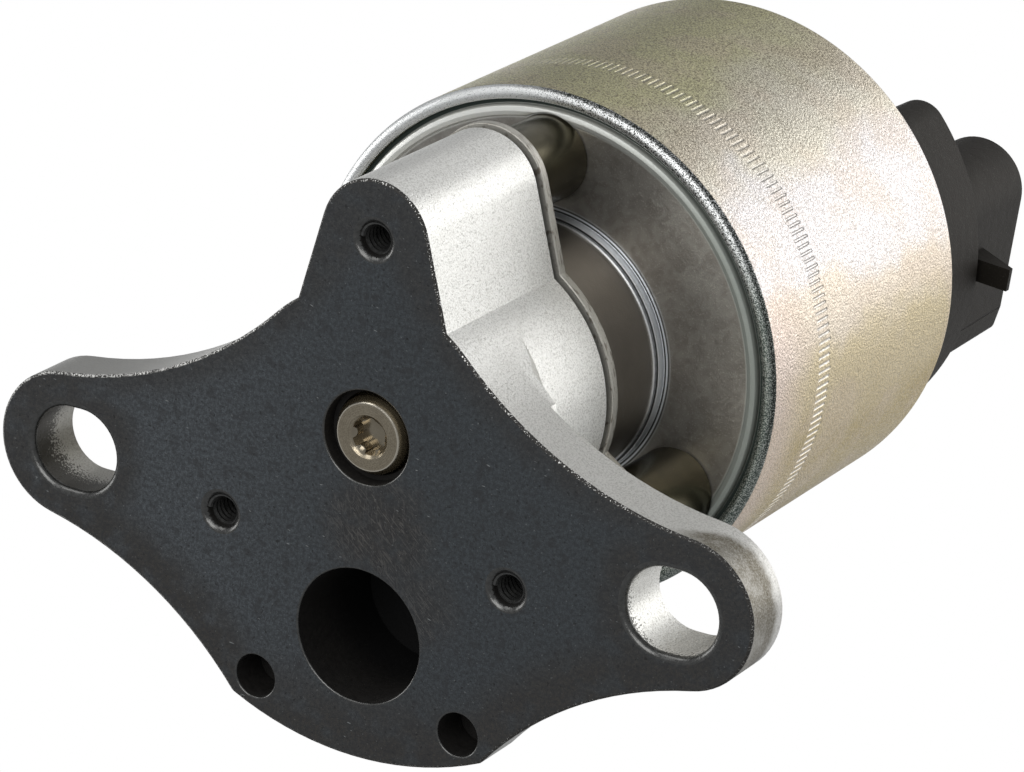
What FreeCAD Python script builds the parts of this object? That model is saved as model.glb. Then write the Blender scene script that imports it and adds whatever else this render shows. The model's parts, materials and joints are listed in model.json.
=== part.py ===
import FreeCAD, Part
import math
import os
from FreeCAD import Vector

os.makedirs("parts", exist_ok=True)

# All sizes are in millimetres. Every piece is drawn about the valve axis with the gasket face
# at z = 0, and then moved by AXIS_OFFSET, so that the origin lies midway between the bolt slots.
# +Z runs from the gasket face to the sensor cap and +X runs from slot to slot.

# Flange outline
BOLT_SPACING = 76.0
SLOT_WIDTH = 9.6
SLOT_LENGTH = 11.0
AXIS_OFFSET = 10.5
FLANGE_THICKNESS = 7.6
FLANGE_EDGE_BREAK = 1.1
EAR_RADIUS = 8.6
EAR_OVERHANG = 1.2
EAR_RISE = 0.2
FOOT_RADIUS = 37.5
FOOT_CORNER_RADIUS = 1.3
FOOT_CORNER_ANGLE = 24.9
UPPER_SWEEP_RADIUS = 46.7
LOWER_SWEEP_RADIUS = 44.0

# Base casting above the flange
BARREL_RADIUS = 16.7
BASE_HEIGHT = 23.6
SKIRT_RADIUS = 3.0
PAD_HEIGHT = 0.9
PAD_INSET = 1.2
SCREW_INSET = 7.8
SCREW_ANGLES = (90.0, -35.5, 215.5)
LOBE_RADIUS = 6.7
LOBE_TAPER = 15.4
LOWER_LOBE_STEP = 0.2
HUMP_RADIUS = 11.0
HUMP_HEIGHT = 19.0
HUMP_EDGE_RADIUS = 4.0

# Holes and gas passages
TAP_RADIUS = 1.79
TAP_CHAMFER = 0.6
DOWEL_RADIUS = 2.5
DOWEL_DEPTH = 5.0
DOWEL_X = 13.05
DOWEL_DROP = 31.3
PORT_RADIUS = 7.75
PORT_DROP = 23.1
PORT_DEPTH = 15.0
PASSAGE_RADIUS = 4.8
INLET_RADIUS = 5.35
SEAT_SHOULDER = 2.0
CHAMBER_FLOOR = 7.6
CHAMBER_RADIUS = 9.6
CHAMBER_HEIGHT = 8.8

# Valve seat and pintle
SEAT_RADIUS = 7.6
SEAT_BORE_RADIUS = 4.75
SEAT_GAP = 0.1
PINTLE_FACE_Z = 0.3
PINTLE_FACE_RADIUS = 3.85
PINTLE_NOSE_RADIUS = 4.45
PINTLE_NOSE_CHAMFER = 0.9
PINTLE_HEAD_RADIUS = 5.9
PINTLE_HEAD_LAND = 1.2
PINTLE_BACK_LENGTH = 3.2
STEM_RADIUS = 2.5
DRIVE_RADIUS = 2.15
DRIVE_DEPTH = 2.0
DRIVE_LOBES = 6
DRIVE_SCALLOP_RADIUS = 0.72
DRIVE_COUNTERSINK = 0.35
LIFT = 4.5

# Stem guide
BUSHING_RADIUS = 5.0
BUSHING_FLANGE_RADIUS = 7.2
BUSHING_FLANGE_THICKNESS = 1.8
STEM_CLEARANCE = 0.05
SEAL_RADIUS = 6.4
SEAL_THICKNESS = 2.2

# Shield plate, standoffs and screws
PLATE_THICKNESS = 1.2
PLATE_OVERHANG = 0.3
STANDOFF_RADIUS = 4.95
STANDOFF_LENGTH = 11.9
SHANK_RADIUS = 2.0
THREAD_CLEARANCE = 0.04
SHANK_CLEARANCE = 0.2
THREAD_LENGTH = 14.3
SCREW_HEAD_RADIUS = 3.5
SCREW_HEAD_HEIGHT = 3.0
SCREW_DRIVE_RADIUS = 1.6
SCREW_DRIVE_DEPTH = 1.6

# Drawn mounting plate with its neck
MOUNT_PLATE_THICKNESS = 2.4
MOUNT_RIM_SETBACK = 0.4
BEAD_INSET = 2.9
BEAD_HALF_WIDTH = 0.7
BEAD_HEIGHT = 0.6
BEAD_FACETS = 4
SPOT_FACE_CLEARANCE = 0.2
NECK_GAP = 2.05
NECK_WALL = 1.5
NECK_LENGTH = 10.6
NECK_STEP_WIDTH = 0.35
NECK_STEP_HEIGHT = 1.1
ROUND_FACETS = 2

# Crimped can
SHELL_RADIUS = 30.2
SHELL_WALL = 1.2
SHELL_LENGTH = 45.5
SHELL_LIP = 1.1
SHELL_EDGE_RADIUS = 1.0
FRONT_LIP_WIDTH = 1.6
REAR_LIP_WIDTH = 2.1
SHELL_SETBACK = 0.7

# Solenoid
ARMATURE_RADIUS = 11.0
ARMATURE_LENGTH = 24.0
ARMATURE_START = 4.0
ARMATURE_POCKET_RADIUS = 6.4
ARMATURE_POCKET_DEPTH = 8.0
ARMATURE_VENT_RADIUS = 1.2
ARMATURE_VENT_PITCH = 8.7
SLEEVE_CLEARANCE = 0.08
SLEEVE_WALL = 1.0
LOWER_POLE_WIDTH = 3.2
LOWER_POLE_THICKNESS = 4.2
BOBBIN_WALL = 1.4
BOBBIN_FLANGE = 1.6
BOBBIN_SIDE_CLEARANCE = 1.4
BOBBIN_CLEARANCE = 0.1
WINDING_DEPTH = 2.0
UPPER_POLE_THICKNESS = 3.5
POLE_BOSS_CLEARANCE = 0.15
POLE_STOP_GAP = 0.4
PLUNGER_GUIDE_CLEARANCE = 0.1
NUT_FLAT_TO_FLAT = 7.0
NUT_HEIGHT = 2.2
NUT_STEM_END = 0.5
SPRING_MEAN_RADIUS = 5.4
SPRING_WIRE_RADIUS = 0.55
SPRING_TURNS = 4
SPRING_END_GAP = 0.1
SPRING_WIRE_SIDES = 6

# Sensor cap and connector
GASKET_THICKNESS = 0.8
GASKET_WIDTH = 2.6
CAP_CLOCKING = 186.0
CAP_INSET = 2.6
CAP_SIDE_ANGLE = 38.0
CAP_SIDE_OFFSET = 6.7
CAP_HUB_RADIUS = 11.0
CAP_HEIGHT = 15.2
CAP_WALL = 1.8
CAP_FLANGE_THICKNESS = 1.6
CAP_FLANGE_CLEARANCE = 0.1
CAP_CORNER_RADIUS = 3.5
CAP_EDGE_BREAK = 0.8
TOWER_INSET = 8.2
TOWER_HALF_WIDTH = 6.0
TOWER_ROUND_END = 12.9
TOWER_SQUARE_END = 10.9
TOWER_BEND = 7.4
TOWER_BEND_SETBACK = 0.6
TOWER_CORNER_RADIUS = 1.2
TOWER_HEIGHT = 14.0
TOWER_WALL = 1.3
TOWER_FLOOR = 3.0
LATCH_WIDTH = 2.8
LATCH_REACH = 5.6
LATCH_HEIGHT = 4.0
LATCH_OFFSET = -1.6
LATCH_RISE = 0.8

# Terminals and position sensor
TERMINAL_COUNT = 5
TERMINAL_PITCH = 3.6
TERMINAL_CENTRE = -1.0
TERMINAL_WIDTH = 1.5
TERMINAL_THICKNESS = 0.64
TERMINAL_RISE = 9.4
LEAD_RADIUS = 0.6
LEAD_STEP = 3.8
LEAD_HOLE_CLEARANCE = 0.8
PLUNGER_RADIUS = 1.9
PLUNGER_GAP = 0.05
CARRIER_LIFT_OFF = 1.4
CARRIER_THICKNESS = 3.0
CARRIER_LENGTH = 11.6
CARRIER_WIDTH = 7.2
CARRIER_SHIFT = 1.2
GUIDE_PIN_RADIUS = 1.4
GUIDE_PIN_OVERLAP = 0.8
GUIDE_CLEARANCE = 0.08
GUIDE_BOSS_RADIUS = 2.9
GUIDE_STOP_GAP = 0.3
BOARD_DISTANCE = 9.6
BOARD_THICKNESS = 1.0
BOARD_WIDTH = 15.0
BOARD_FOOT_GAP = 2.2
RIB_WIDTH = 2.4
RIB_DEPTH = 3.4
RIB_LENGTH = 8.0
RIB_GRIP = 0.8
RIB_CLEARANCE = 0.05
FINGER_THICKNESS = 0.25
FINGER_WIDTH = 1.4
FINGER_SPACING = 3.6
FINGER_RISE = 3.0
FINGER_CLEARANCE = 0.08
SENSOR_SPRING_RADIUS = 3.9
SENSOR_WIRE_RADIUS = 0.3
SENSOR_SPRING_TURNS = 4

# Levels up the valve axis that several pieces share
plate_bottom = BASE_HEIGHT
plate_top = plate_bottom + PLATE_THICKNESS
mount_face = plate_top + STANDOFF_LENGTH
mount_back = mount_face + MOUNT_PLATE_THICKNESS
shell_front = mount_face - SHELL_SETBACK
shell_rear = shell_front + SHELL_LENGTH
cap_flange_top = shell_rear - SHELL_LIP
cap_base = cap_flange_top - CAP_FLANGE_THICKNESS
washer_top = cap_base - GASKET_THICKNESS
washer_bottom = washer_top - UPPER_POLE_THICKNESS
lower_pole_top = mount_back + LOWER_POLE_THICKNESS
cap_top = cap_base + CAP_HEIGHT
ceiling = cap_top - CAP_WALL
tower_top = cap_top + TOWER_HEIGHT
armature_bottom = mount_back + ARMATURE_START
armature_top = armature_bottom + ARMATURE_LENGTH
pocket_floor = armature_top - ARMATURE_POCKET_DEPTH
stem_top = pocket_floor + NUT_HEIGHT + NUT_STEM_END
pole_stop = armature_top + LIFT + POLE_STOP_GAP
carrier_bottom = washer_top + CARRIER_LIFT_OFF
carrier_top = carrier_bottom + CARRIER_THICKNESS
guide_bottom = carrier_top + LIFT + GUIDE_STOP_GAP
shell_bore = SHELL_RADIUS - SHELL_WALL
screw_pitch_radius = SHELL_RADIUS - SCREW_INSET
bead_radius = SHELL_RADIUS - BEAD_INSET
neck_radius = screw_pitch_radius - STANDOFF_RADIUS - NECK_GAP
bobbin_radius = shell_bore - BOBBIN_SIDE_CLEARANCE
winding_radius = bobbin_radius - WINDING_DEPTH
cap_radius = SHELL_RADIUS - CAP_INSET
tower_reach = cap_radius - TOWER_INSET
lead_reach = tower_reach - LEAD_STEP
sleeve_inner = ARMATURE_RADIUS + SLEEVE_CLEARANCE
sleeve_outer = sleeve_inner + SLEEVE_WALL
lower_pole_radius = sleeve_outer + LOWER_POLE_WIDTH
bobbin_inner = sleeve_outer + BOBBIN_CLEARANCE
winding_inner = bobbin_inner + BOBBIN_WALL
shank_hole_radius = SHANK_RADIUS + SHANK_CLEARANCE
strip_bottom = ceiling - TERMINAL_THICKNESS
lobe_centre = Vector(0, screw_pitch_radius, 0)
lower_lobe_radius = STANDOFF_RADIUS - LOWER_LOBE_STEP
ear_centre = Vector(BOLT_SPACING / 2 + EAR_OVERHANG, EAR_RISE - AXIS_OFFSET, 0)


# Drawing helpers

def polar(centre, radius, degrees):
    angle = math.radians(degrees)
    return centre + Vector(radius * math.cos(angle), radius * math.sin(angle), 0)


def bearing(centre, point):
    return math.degrees(math.atan2(point.y - centre.y, point.x - centre.x))


def arc(centre, radius, start, end):
    """Arc from one angle to another, in degrees."""
    middle = polar(centre, radius, (start + end) / 2)
    return Part.Arc(polar(centre, radius, start), middle, polar(centre, radius, end)).toShape()


def line(start, end):
    return Part.LineSegment(start, end).toShape()


def prism(face, bottom, top):
    solid = face.extrude(Vector(0, 0, top - bottom))
    solid.translate(Vector(0, 0, bottom))
    return solid


def rod(radius, bottom, top, x=0.0, y=0.0):
    return Part.makeCylinder(radius, top - bottom, Vector(x, y, bottom))


def ring(outer, inner, bottom, top):
    return rod(outer, bottom, top).cut(rod(inner, bottom, top))


def block(x_low, x_high, y_low, y_high, z_low, z_high):
    corner = Vector(x_low, y_low, z_low)
    return Part.makeBox(x_high - x_low, y_high - y_low, z_high - z_low, corner)


def turned(*profile):
    """Solid of revolution about the valve axis, from the (radius, height) corners of its
    section."""
    corners = [Vector(radius, 0, height) for radius, height in profile]
    section = Part.Face(Part.makePolygon(corners + corners[:1]))
    return section.revolve(Vector(0, 0, 0), Vector(0, 0, 1), 360)


def fused(solids):
    return solids[0].multiFuse(solids[1:]).removeSplitter()


def around_screws(solid):
    """The same solid at each screw, drawn on the valve axis."""
    copies = []
    for angle in SCREW_ANGLES:
        copy = solid.copy()
        copy.translate(polar(Vector(0, 0, 0), screw_pitch_radius, angle))
        copies.append(copy)
    return copies


def section_angles(sides):
    return [2 * math.pi * corner / sides for corner in range(sides + 1)]


def rounding(centre, width, height, start, end, facets=ROUND_FACETS):
    """Points round part of an ellipse in the turned profile, from one angle to another."""
    points = []
    for facet in range(facets + 1):
        angle = math.radians(start + (end - start) * facet / facets)
        points.append((centre[0] + width * math.cos(angle), centre[1] + height * math.sin(angle)))
    return points


def coil_spring(mean_radius, wire_radius, turns, bottom, top):
    """Helical spring whose end turns lie just clear of the levels given."""
    low = bottom + wire_radius + SPRING_END_GAP
    high = top - wire_radius - SPRING_END_GAP
    helix = Part.makeHelix((high - low) / turns, high - low, mean_radius)
    section = Part.makePolygon(
        [Vector(mean_radius + wire_radius * math.cos(angle), 0, wire_radius * math.sin(angle))
         for angle in section_angles(SPRING_WIRE_SIDES)])
    spring = Part.Wire(helix.Edges).makePipeShell([section], True, True)
    spring.translate(Vector(0, 0, low))
    return spring


def on_cap(solid):
    """Turns a piece drawn with the connector towards +X to where the cap is clocked."""
    return solid.rotate(Vector(0, 0, 0), Vector(0, 0, 1), CAP_CLOCKING)


# Base casting

def tangent_centre(first, first_radius, second, second_radius, radius):
    """Centre of the arc of that radius that touches two circles from outside, on their left."""
    reach = first_radius + radius
    other = second_radius + radius
    span = (second - first).Length
    along = (reach ** 2 - other ** 2 + span ** 2) / (2 * span)
    across = math.sqrt(reach ** 2 - along ** 2)
    direction = (second - first) / span
    return first + direction * along + Vector(-direction.y, direction.x, 0) * across


def barrel_join(radius, taper, barrel):
    """Ends of the side of a screw lobe: where its round stops, and where it meets the barrel."""
    start = polar(lobe_centre, radius, taper)
    direction = polar(Vector(0, 0, 0), 1, taper - 90)
    half = start.dot(direction)
    run = -half - math.sqrt(half ** 2 - start.dot(start) + barrel ** 2)
    return start, start + direction * run


def half_outline():
    """Edges of the flange outline on the +X side, from the top lobe down to the foot."""
    axis = Vector(0, 0, 0)
    side, join = barrel_join(LOBE_RADIUS, LOBE_TAPER, BARREL_RADIUS)
    upper = tangent_centre(axis, BARREL_RADIUS, ear_centre, EAR_RADIUS, UPPER_SWEEP_RADIUS)
    corner_angle = FOOT_CORNER_ANGLE - 90
    corner = polar(axis, FOOT_RADIUS - FOOT_CORNER_RADIUS, corner_angle)
    lower = tangent_centre(ear_centre, EAR_RADIUS, corner, FOOT_CORNER_RADIUS,
                           LOWER_SWEEP_RADIUS)
    edges = [arc(lobe_centre, LOBE_RADIUS, 90, LOBE_TAPER)]
    edges.append(line(side, join))
    edges.append(arc(axis, BARREL_RADIUS, bearing(axis, join), bearing(axis, upper)))
    edges.append(arc(upper, UPPER_SWEEP_RADIUS, bearing(upper, axis),
                     bearing(upper, ear_centre)))
    edges.append(arc(ear_centre, EAR_RADIUS, bearing(ear_centre, upper),
                     bearing(ear_centre, lower)))
    edges.append(arc(lower, LOWER_SWEEP_RADIUS, bearing(lower, ear_centre),
                     bearing(lower, corner)))
    edges.append(arc(corner, FOOT_CORNER_RADIUS, bearing(corner, lower), corner_angle))
    edges.append(arc(axis, FOOT_RADIUS, corner_angle, -90))
    return edges


def flange_face():
    edges = half_outline()
    mirrored = [edge.mirror(Vector(0, 0, 0), Vector(1, 0, 0)) for edge in edges]
    return Part.Face(Part.Wire(Part.sortEdges(edges + mirrored)[0]))


def flange():
    plate = prism(flange_face(), 0, FLANGE_THICKNESS)
    rim = [edge for edge in plate.Edges if edge.BoundBox.ZMin > FLANGE_THICKNESS / 2]
    return plate.makeChamfer(FLANGE_EDGE_BREAK, rim)


def barrel_skirt():
    """Hollow fillet from the barrel down to the flange, ending at the flange outline."""
    root = FLANGE_THICKNESS / 2
    hollow = rounding((BARREL_RADIUS + SKIRT_RADIUS, FLANGE_THICKNESS + SKIRT_RADIUS),
                      SKIRT_RADIUS, SKIRT_RADIUS, 180, 270)
    skirt = turned((0, root), (0, FLANGE_THICKNESS + SKIRT_RADIUS), *hollow,
                   (BARREL_RADIUS + SKIRT_RADIUS, root))
    return skirt.common(prism(flange_face(), root, FLANGE_THICKNESS + SKIRT_RADIUS))


def screw_lobe(radius, taper, barrel):
    """Face of one lobe as far as the valve axis, drawn towards +Y."""
    side, join = barrel_join(radius, taper, barrel)
    left_side = Vector(-side.x, side.y, 0)
    left_join = Vector(-join.x, join.y, 0)
    edges = [arc(lobe_centre, radius, taper, 180 - taper)]
    edges += [line(left_side, left_join), line(left_join, Vector(0, 0, 0))]
    edges += [line(Vector(0, 0, 0), join), line(join, side)]
    return Part.Face(Part.Wire(edges))


def lobed_face(overhang):
    """Outline of the barrel, its wide upper lobe and the two slim lower ones, grown by the
    overhang."""
    barrel = BARREL_RADIUS + overhang
    upper = screw_lobe(LOBE_RADIUS + overhang, LOBE_TAPER, barrel)
    lower = screw_lobe(lower_lobe_radius + overhang, 0, barrel)
    lobes = [upper]
    for angle in SCREW_ANGLES[1:]:
        lobes.append(lower.copy().rotate(Vector(0, 0, 0), Vector(0, 0, 1), angle - 90))
    disc = Part.Face(Part.Wire(Part.makeCircle(barrel)))
    return disc.multiFuse(lobes).removeSplitter()


def port_hump():
    """Raised housing over the outlet port and the passage that feeds it."""
    port = Vector(0, -PORT_DROP, 0)
    left = Vector(-HUMP_RADIUS, 0, 0)
    right = Vector(HUMP_RADIUS, 0, 0)
    edges = [arc(port, HUMP_RADIUS, -180, 0), line(right + port, right)]
    edges += [line(right, left), line(left, left + port)]
    hump = prism(Part.Face(Part.Wire(edges)), 0, HUMP_HEIGHT)
    top = [edge for edge in hump.Edges
           if edge.BoundBox.ZMin > HUMP_HEIGHT / 2 and edge.BoundBox.YMin < -PORT_DROP / 2]
    return hump.makeFillet(HUMP_EDGE_RADIUS, top)


def bolt_slot(x):
    straight = (SLOT_LENGTH - SLOT_WIDTH) / 2
    radius = SLOT_WIDTH / 2
    y = -AXIS_OFFSET
    ends = [rod(radius, 0, FLANGE_THICKNESS, x + shift, y) for shift in (-straight, straight)]
    middle = block(x - straight, x + straight, y - radius, y + radius, 0, FLANGE_THICKNESS)
    return fused(ends + [middle])


def tapped_hole():
    mouth = Part.makeCone(TAP_RADIUS + TAP_CHAMFER, TAP_RADIUS, TAP_CHAMFER)
    return rod(TAP_RADIUS, 0, BASE_HEIGHT).fuse(mouth)


def gas_passages():
    """Inlet, seat pocket, valve chamber, cross passage, outlet port and stem guide bore."""
    chamber_top = CHAMBER_FLOOR + CHAMBER_HEIGHT
    passage_z = chamber_top - PASSAGE_RADIUS / 2 - TAP_CHAMFER
    cross = Part.makeCylinder(PASSAGE_RADIUS, PORT_DROP, Vector(0, -PORT_DROP, passage_z),
                              Vector(0, 1, 0))
    return [
        rod(INLET_RADIUS, 0, SEAT_SHOULDER),
        rod(SEAT_RADIUS, SEAT_SHOULDER, CHAMBER_FLOOR),
        rod(CHAMBER_RADIUS, CHAMBER_FLOOR, chamber_top),
        rod(BUSHING_RADIUS, chamber_top, BASE_HEIGHT),
        rod(BUSHING_FLANGE_RADIUS, BASE_HEIGHT - BUSHING_FLANGE_THICKNESS, BASE_HEIGHT),
        rod(PORT_RADIUS, 0, PORT_DEPTH, 0, -PORT_DROP),
        cross,
    ]


def base_casting():
    pad_bottom = BASE_HEIGHT - PAD_HEIGHT
    body = fused([flange(), barrel_skirt(), prism(lobed_face(0), 0, pad_bottom),
                  prism(lobed_face(-PAD_INSET), pad_bottom, BASE_HEIGHT), port_hump()])
    holes = gas_passages() + around_screws(tapped_hole())
    for side in (-1, 1):
        holes.append(bolt_slot(side * BOLT_SPACING / 2))
        holes.append(rod(DOWEL_RADIUS, 0, DOWEL_DEPTH, side * DOWEL_X, -DOWEL_DROP))
    return body.cut(holes).removeSplitter()


# Valve and stem guide

def valve_seat():
    """Pressed-in ring whose 45 degree cone meets the pintle head."""
    cone_start = SEAT_SHOULDER + PINTLE_HEAD_LAND
    flare = SEAT_RADIUS - SEAT_BORE_RADIUS
    return turned((SEAT_BORE_RADIUS, SEAT_SHOULDER), (SEAT_RADIUS, SEAT_SHOULDER),
                  (SEAT_RADIUS, CHAMBER_FLOOR), (SEAT_BORE_RADIUS + flare / 2, CHAMBER_FLOOR),
                  (SEAT_BORE_RADIUS + flare / 2, cone_start + flare / 2),
                  (SEAT_BORE_RADIUS, cone_start))


def drive_recess():
    """Six-lobed driver socket with a countersunk mouth."""
    socket = rod(DRIVE_RADIUS, PINTLE_FACE_Z, PINTLE_FACE_Z + DRIVE_DEPTH)
    step = 360.0 / DRIVE_LOBES
    scallops = []
    for index in range(DRIVE_LOBES):
        centre = polar(Vector(0, 0, 0), DRIVE_RADIUS + DRIVE_SCALLOP_RADIUS / 3, index * step)
        scallops.append(rod(DRIVE_SCALLOP_RADIUS, PINTLE_FACE_Z, PINTLE_FACE_Z + DRIVE_DEPTH,
                            centre.x, centre.y))
    mouth = Part.makeCone(DRIVE_RADIUS + DRIVE_COUNTERSINK, DRIVE_RADIUS - DRIVE_COUNTERSINK,
                          2 * DRIVE_COUNTERSINK, Vector(0, 0, PINTLE_FACE_Z))
    return socket.cut(scallops).fuse(mouth)


def pintle():
    """Head with its sealing cone, and the stem up to the armature nut."""
    gap = SEAT_GAP * math.sqrt(2)
    nose_rise = PINTLE_NOSE_RADIUS - SEAT_BORE_RADIUS
    cone_start = SEAT_SHOULDER + PINTLE_HEAD_LAND + nose_rise + gap
    head_start = cone_start + PINTLE_HEAD_RADIUS - PINTLE_NOSE_RADIUS
    head_end = head_start + PINTLE_HEAD_LAND
    body = turned((0, PINTLE_FACE_Z), (PINTLE_FACE_RADIUS, PINTLE_FACE_Z),
                  (PINTLE_NOSE_RADIUS, PINTLE_FACE_Z + PINTLE_NOSE_CHAMFER),
                  (PINTLE_NOSE_RADIUS, cone_start), (PINTLE_HEAD_RADIUS, head_start),
                  (PINTLE_HEAD_RADIUS, head_end),
                  (STEM_RADIUS, head_end + PINTLE_BACK_LENGTH),
                  (STEM_RADIUS, stem_top), (0, stem_top))
    return body.cut(drive_recess())


def stem_bushing():
    inner = STEM_RADIUS + STEM_CLEARANCE
    bottom = CHAMBER_FLOOR + CHAMBER_HEIGHT
    shoulder = BASE_HEIGHT - BUSHING_FLANGE_THICKNESS
    return turned((inner, bottom), (BUSHING_RADIUS, bottom), (BUSHING_RADIUS, shoulder),
                  (BUSHING_FLANGE_RADIUS, shoulder), (BUSHING_FLANGE_RADIUS, BASE_HEIGHT),
                  (inner, BASE_HEIGHT))


def neck_floor():
    return mount_face - NECK_LENGTH


def stem_seal():
    """Wiper ring that lies on the floor of the neck round the stem."""
    bottom = neck_floor() + NECK_WALL
    return ring(SEAL_RADIUS, STEM_RADIUS + STEM_CLEARANCE, bottom, bottom + SEAL_THICKNESS)


# Shield plate, standoffs and screws

def shield_plate():
    """Thin lobed plate on the casting's raised pad, so that a slit shows below its rim."""
    plate = prism(lobed_face(PLATE_OVERHANG), plate_bottom, plate_top)
    stem_hole = rod(STEM_RADIUS + SHANK_CLEARANCE, plate_bottom, plate_top)
    screw_holes = around_screws(rod(shank_hole_radius, plate_bottom, plate_top))
    return plate.cut([stem_hole] + screw_holes)


def standoffs():
    return around_screws(ring(STANDOFF_RADIUS, shank_hole_radius, plate_top, mount_face))


def actuator_screw():
    thread_radius = TAP_RADIUS - THREAD_CLEARANCE
    bottom = BASE_HEIGHT - THREAD_LENGTH
    head_top = mount_back + SCREW_HEAD_HEIGHT
    thread = rod(thread_radius, bottom, plate_bottom)
    shank = rod(SHANK_RADIUS, plate_bottom, mount_back)
    head = rod(SCREW_HEAD_RADIUS, mount_back, head_top)
    socket = Part.Face(Part.makePolygon(
        [polar(Vector(0, 0, 0), SCREW_DRIVE_RADIUS, 60 * corner) for corner in range(7)]))
    return fused([thread, shank, head]).cut(prism(socket, head_top - SCREW_DRIVE_DEPTH, head_top))


# Mounting plate and can

def mounting_plate():
    """Drawn steel plate: rim under the crimp, raised bead, flat disc, stepped root and neck.
    The bead is pressed flat round each standoff."""
    rim = shell_bore - CAP_FLANGE_CLEARANCE
    rim_face = mount_face + MOUNT_RIM_SETBACK
    step_low = mount_face - NECK_STEP_HEIGHT
    neck_low = neck_floor()
    inner = neck_radius - NECK_WALL
    root = neck_radius + NECK_STEP_WIDTH
    bead = rounding((bead_radius, mount_face), BEAD_HALF_WIDTH, -BEAD_HEIGHT, 0, 180,
                    BEAD_FACETS)
    hollow = rounding((root, step_low - 2 * NECK_STEP_WIDTH), NECK_STEP_WIDTH, NECK_STEP_WIDTH,
                      90, 180)
    disc = turned(
        (inner, mount_back), (rim, mount_back), (rim, rim_face),
        (bead_radius + BEAD_HALF_WIDTH, rim_face), *bead,
        (root + NECK_STEP_WIDTH, mount_face), (root + NECK_STEP_WIDTH, step_low),
        (root, step_low), *hollow,
        (neck_radius, neck_low), (STEM_RADIUS + SHANK_CLEARANCE, neck_low),
        (STEM_RADIUS + SHANK_CLEARANCE, neck_low + NECK_WALL), (inner, neck_low + NECK_WALL))
    spot_radius = STANDOFF_RADIUS + SPOT_FACE_CLEARANCE
    cuts = around_screws(rod(shank_hole_radius, mount_face, mount_back))
    cuts += around_screws(rod(spot_radius, mount_face - BEAD_HEIGHT, mount_face))
    return disc.cut(cuts)


def outer_shell():
    """Can whose two ends are rolled in: over the mounting plate and over the cap flange."""
    lip_front = SHELL_RADIUS - FRONT_LIP_WIDTH
    lip_rear = SHELL_RADIUS - REAR_LIP_WIDTH
    edge = SHELL_EDGE_RADIUS
    front_inside = mount_face + MOUNT_RIM_SETBACK
    front_roll = rounding((SHELL_RADIUS - edge, shell_front + edge), edge, edge, -90, 0)
    rear_roll = rounding((SHELL_RADIUS - edge, shell_rear - edge), edge, edge, 0, 90)
    return turned(
        (lip_front, shell_front), *front_roll, *rear_roll,
        (lip_rear, shell_rear), (lip_rear, cap_flange_top), (shell_bore, cap_flange_top),
        (shell_bore, front_inside), (lip_front, front_inside))


# Solenoid

def lower_pole():
    return ring(lower_pole_radius, sleeve_outer, mount_back, lower_pole_top)


def armature_sleeve():
    return ring(sleeve_outer, sleeve_inner, mount_back, washer_bottom)


def armature():
    """Steel slug with a spring pocket and four vent holes."""
    body = ring(ARMATURE_RADIUS, STEM_RADIUS, armature_bottom, armature_top)
    holes = [rod(ARMATURE_POCKET_RADIUS, pocket_floor, armature_top)]
    for quarter in range(4):
        vent = polar(Vector(0, 0, 0), ARMATURE_VENT_PITCH, 90 * quarter + 45)
        holes.append(rod(ARMATURE_VENT_RADIUS, armature_bottom, armature_top, vent.x, vent.y))
    return body.cut(holes)


def armature_nut():
    corner = NUT_FLAT_TO_FLAT / math.sqrt(3)
    outline = Part.makePolygon(
        [polar(Vector(0, 0, 0), corner, 60 * index) for index in range(7)])
    nut = prism(Part.Face(outline), pocket_floor, pocket_floor + NUT_HEIGHT)
    return nut.cut(rod(STEM_RADIUS, pocket_floor, pocket_floor + NUT_HEIGHT))


def coil_bobbin():
    """Moulded spool that stands on the mounting plate and fills the can to the flux washer."""
    low = lower_pole_top
    high = washer_bottom
    return turned((bobbin_inner, low), (bobbin_radius, low), (bobbin_radius, low + BOBBIN_FLANGE),
                  (winding_inner, low + BOBBIN_FLANGE), (winding_inner, high - BOBBIN_FLANGE),
                  (bobbin_radius, high - BOBBIN_FLANGE), (bobbin_radius, high),
                  (bobbin_inner, high))


def coil_winding():
    return ring(winding_radius, winding_inner, lower_pole_top + BOBBIN_FLANGE,
                washer_bottom - BOBBIN_FLANGE)


def lead_places():
    """Local places of the two coil leads, under the outermost terminals."""
    half = (TERMINAL_COUNT - 1) / 2 * TERMINAL_PITCH
    return [Vector(lead_reach, TERMINAL_CENTRE + side * half, 0) for side in (-1, 1)]


def upper_pole():
    """Flux washer with the boss that the armature is pulled up to."""
    boss = sleeve_inner - POLE_BOSS_CLEARANCE
    pole = fused([rod(boss, pole_stop, washer_bottom),
                  rod(shell_bore - CAP_FLANGE_CLEARANCE, washer_bottom, washer_top)])
    pocket = rod(ARMATURE_POCKET_RADIUS, pole_stop, washer_bottom)
    bore = rod(PLUNGER_RADIUS + PLUNGER_GUIDE_CLEARANCE, pole_stop, washer_top)
    leads = [rod(LEAD_RADIUS + LEAD_HOLE_CLEARANCE, washer_bottom, washer_top, place.x, place.y)
             for place in lead_places()]
    return on_cap(pole.cut([pocket, bore] + leads))


def return_spring():
    return coil_spring(SPRING_MEAN_RADIUS, SPRING_WIRE_RADIUS, SPRING_TURNS, pocket_floor,
                       washer_bottom)


def coil_leads():
    return [on_cap(rod(LEAD_RADIUS, washer_bottom, strip_bottom, place.x, place.y))
            for place in lead_places()]


# Sensor cap

def cap_gasket():
    outer = shell_bore - CAP_FLANGE_CLEARANCE
    return ring(outer, outer - GASKET_WIDTH, washer_top, cap_base)


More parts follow.
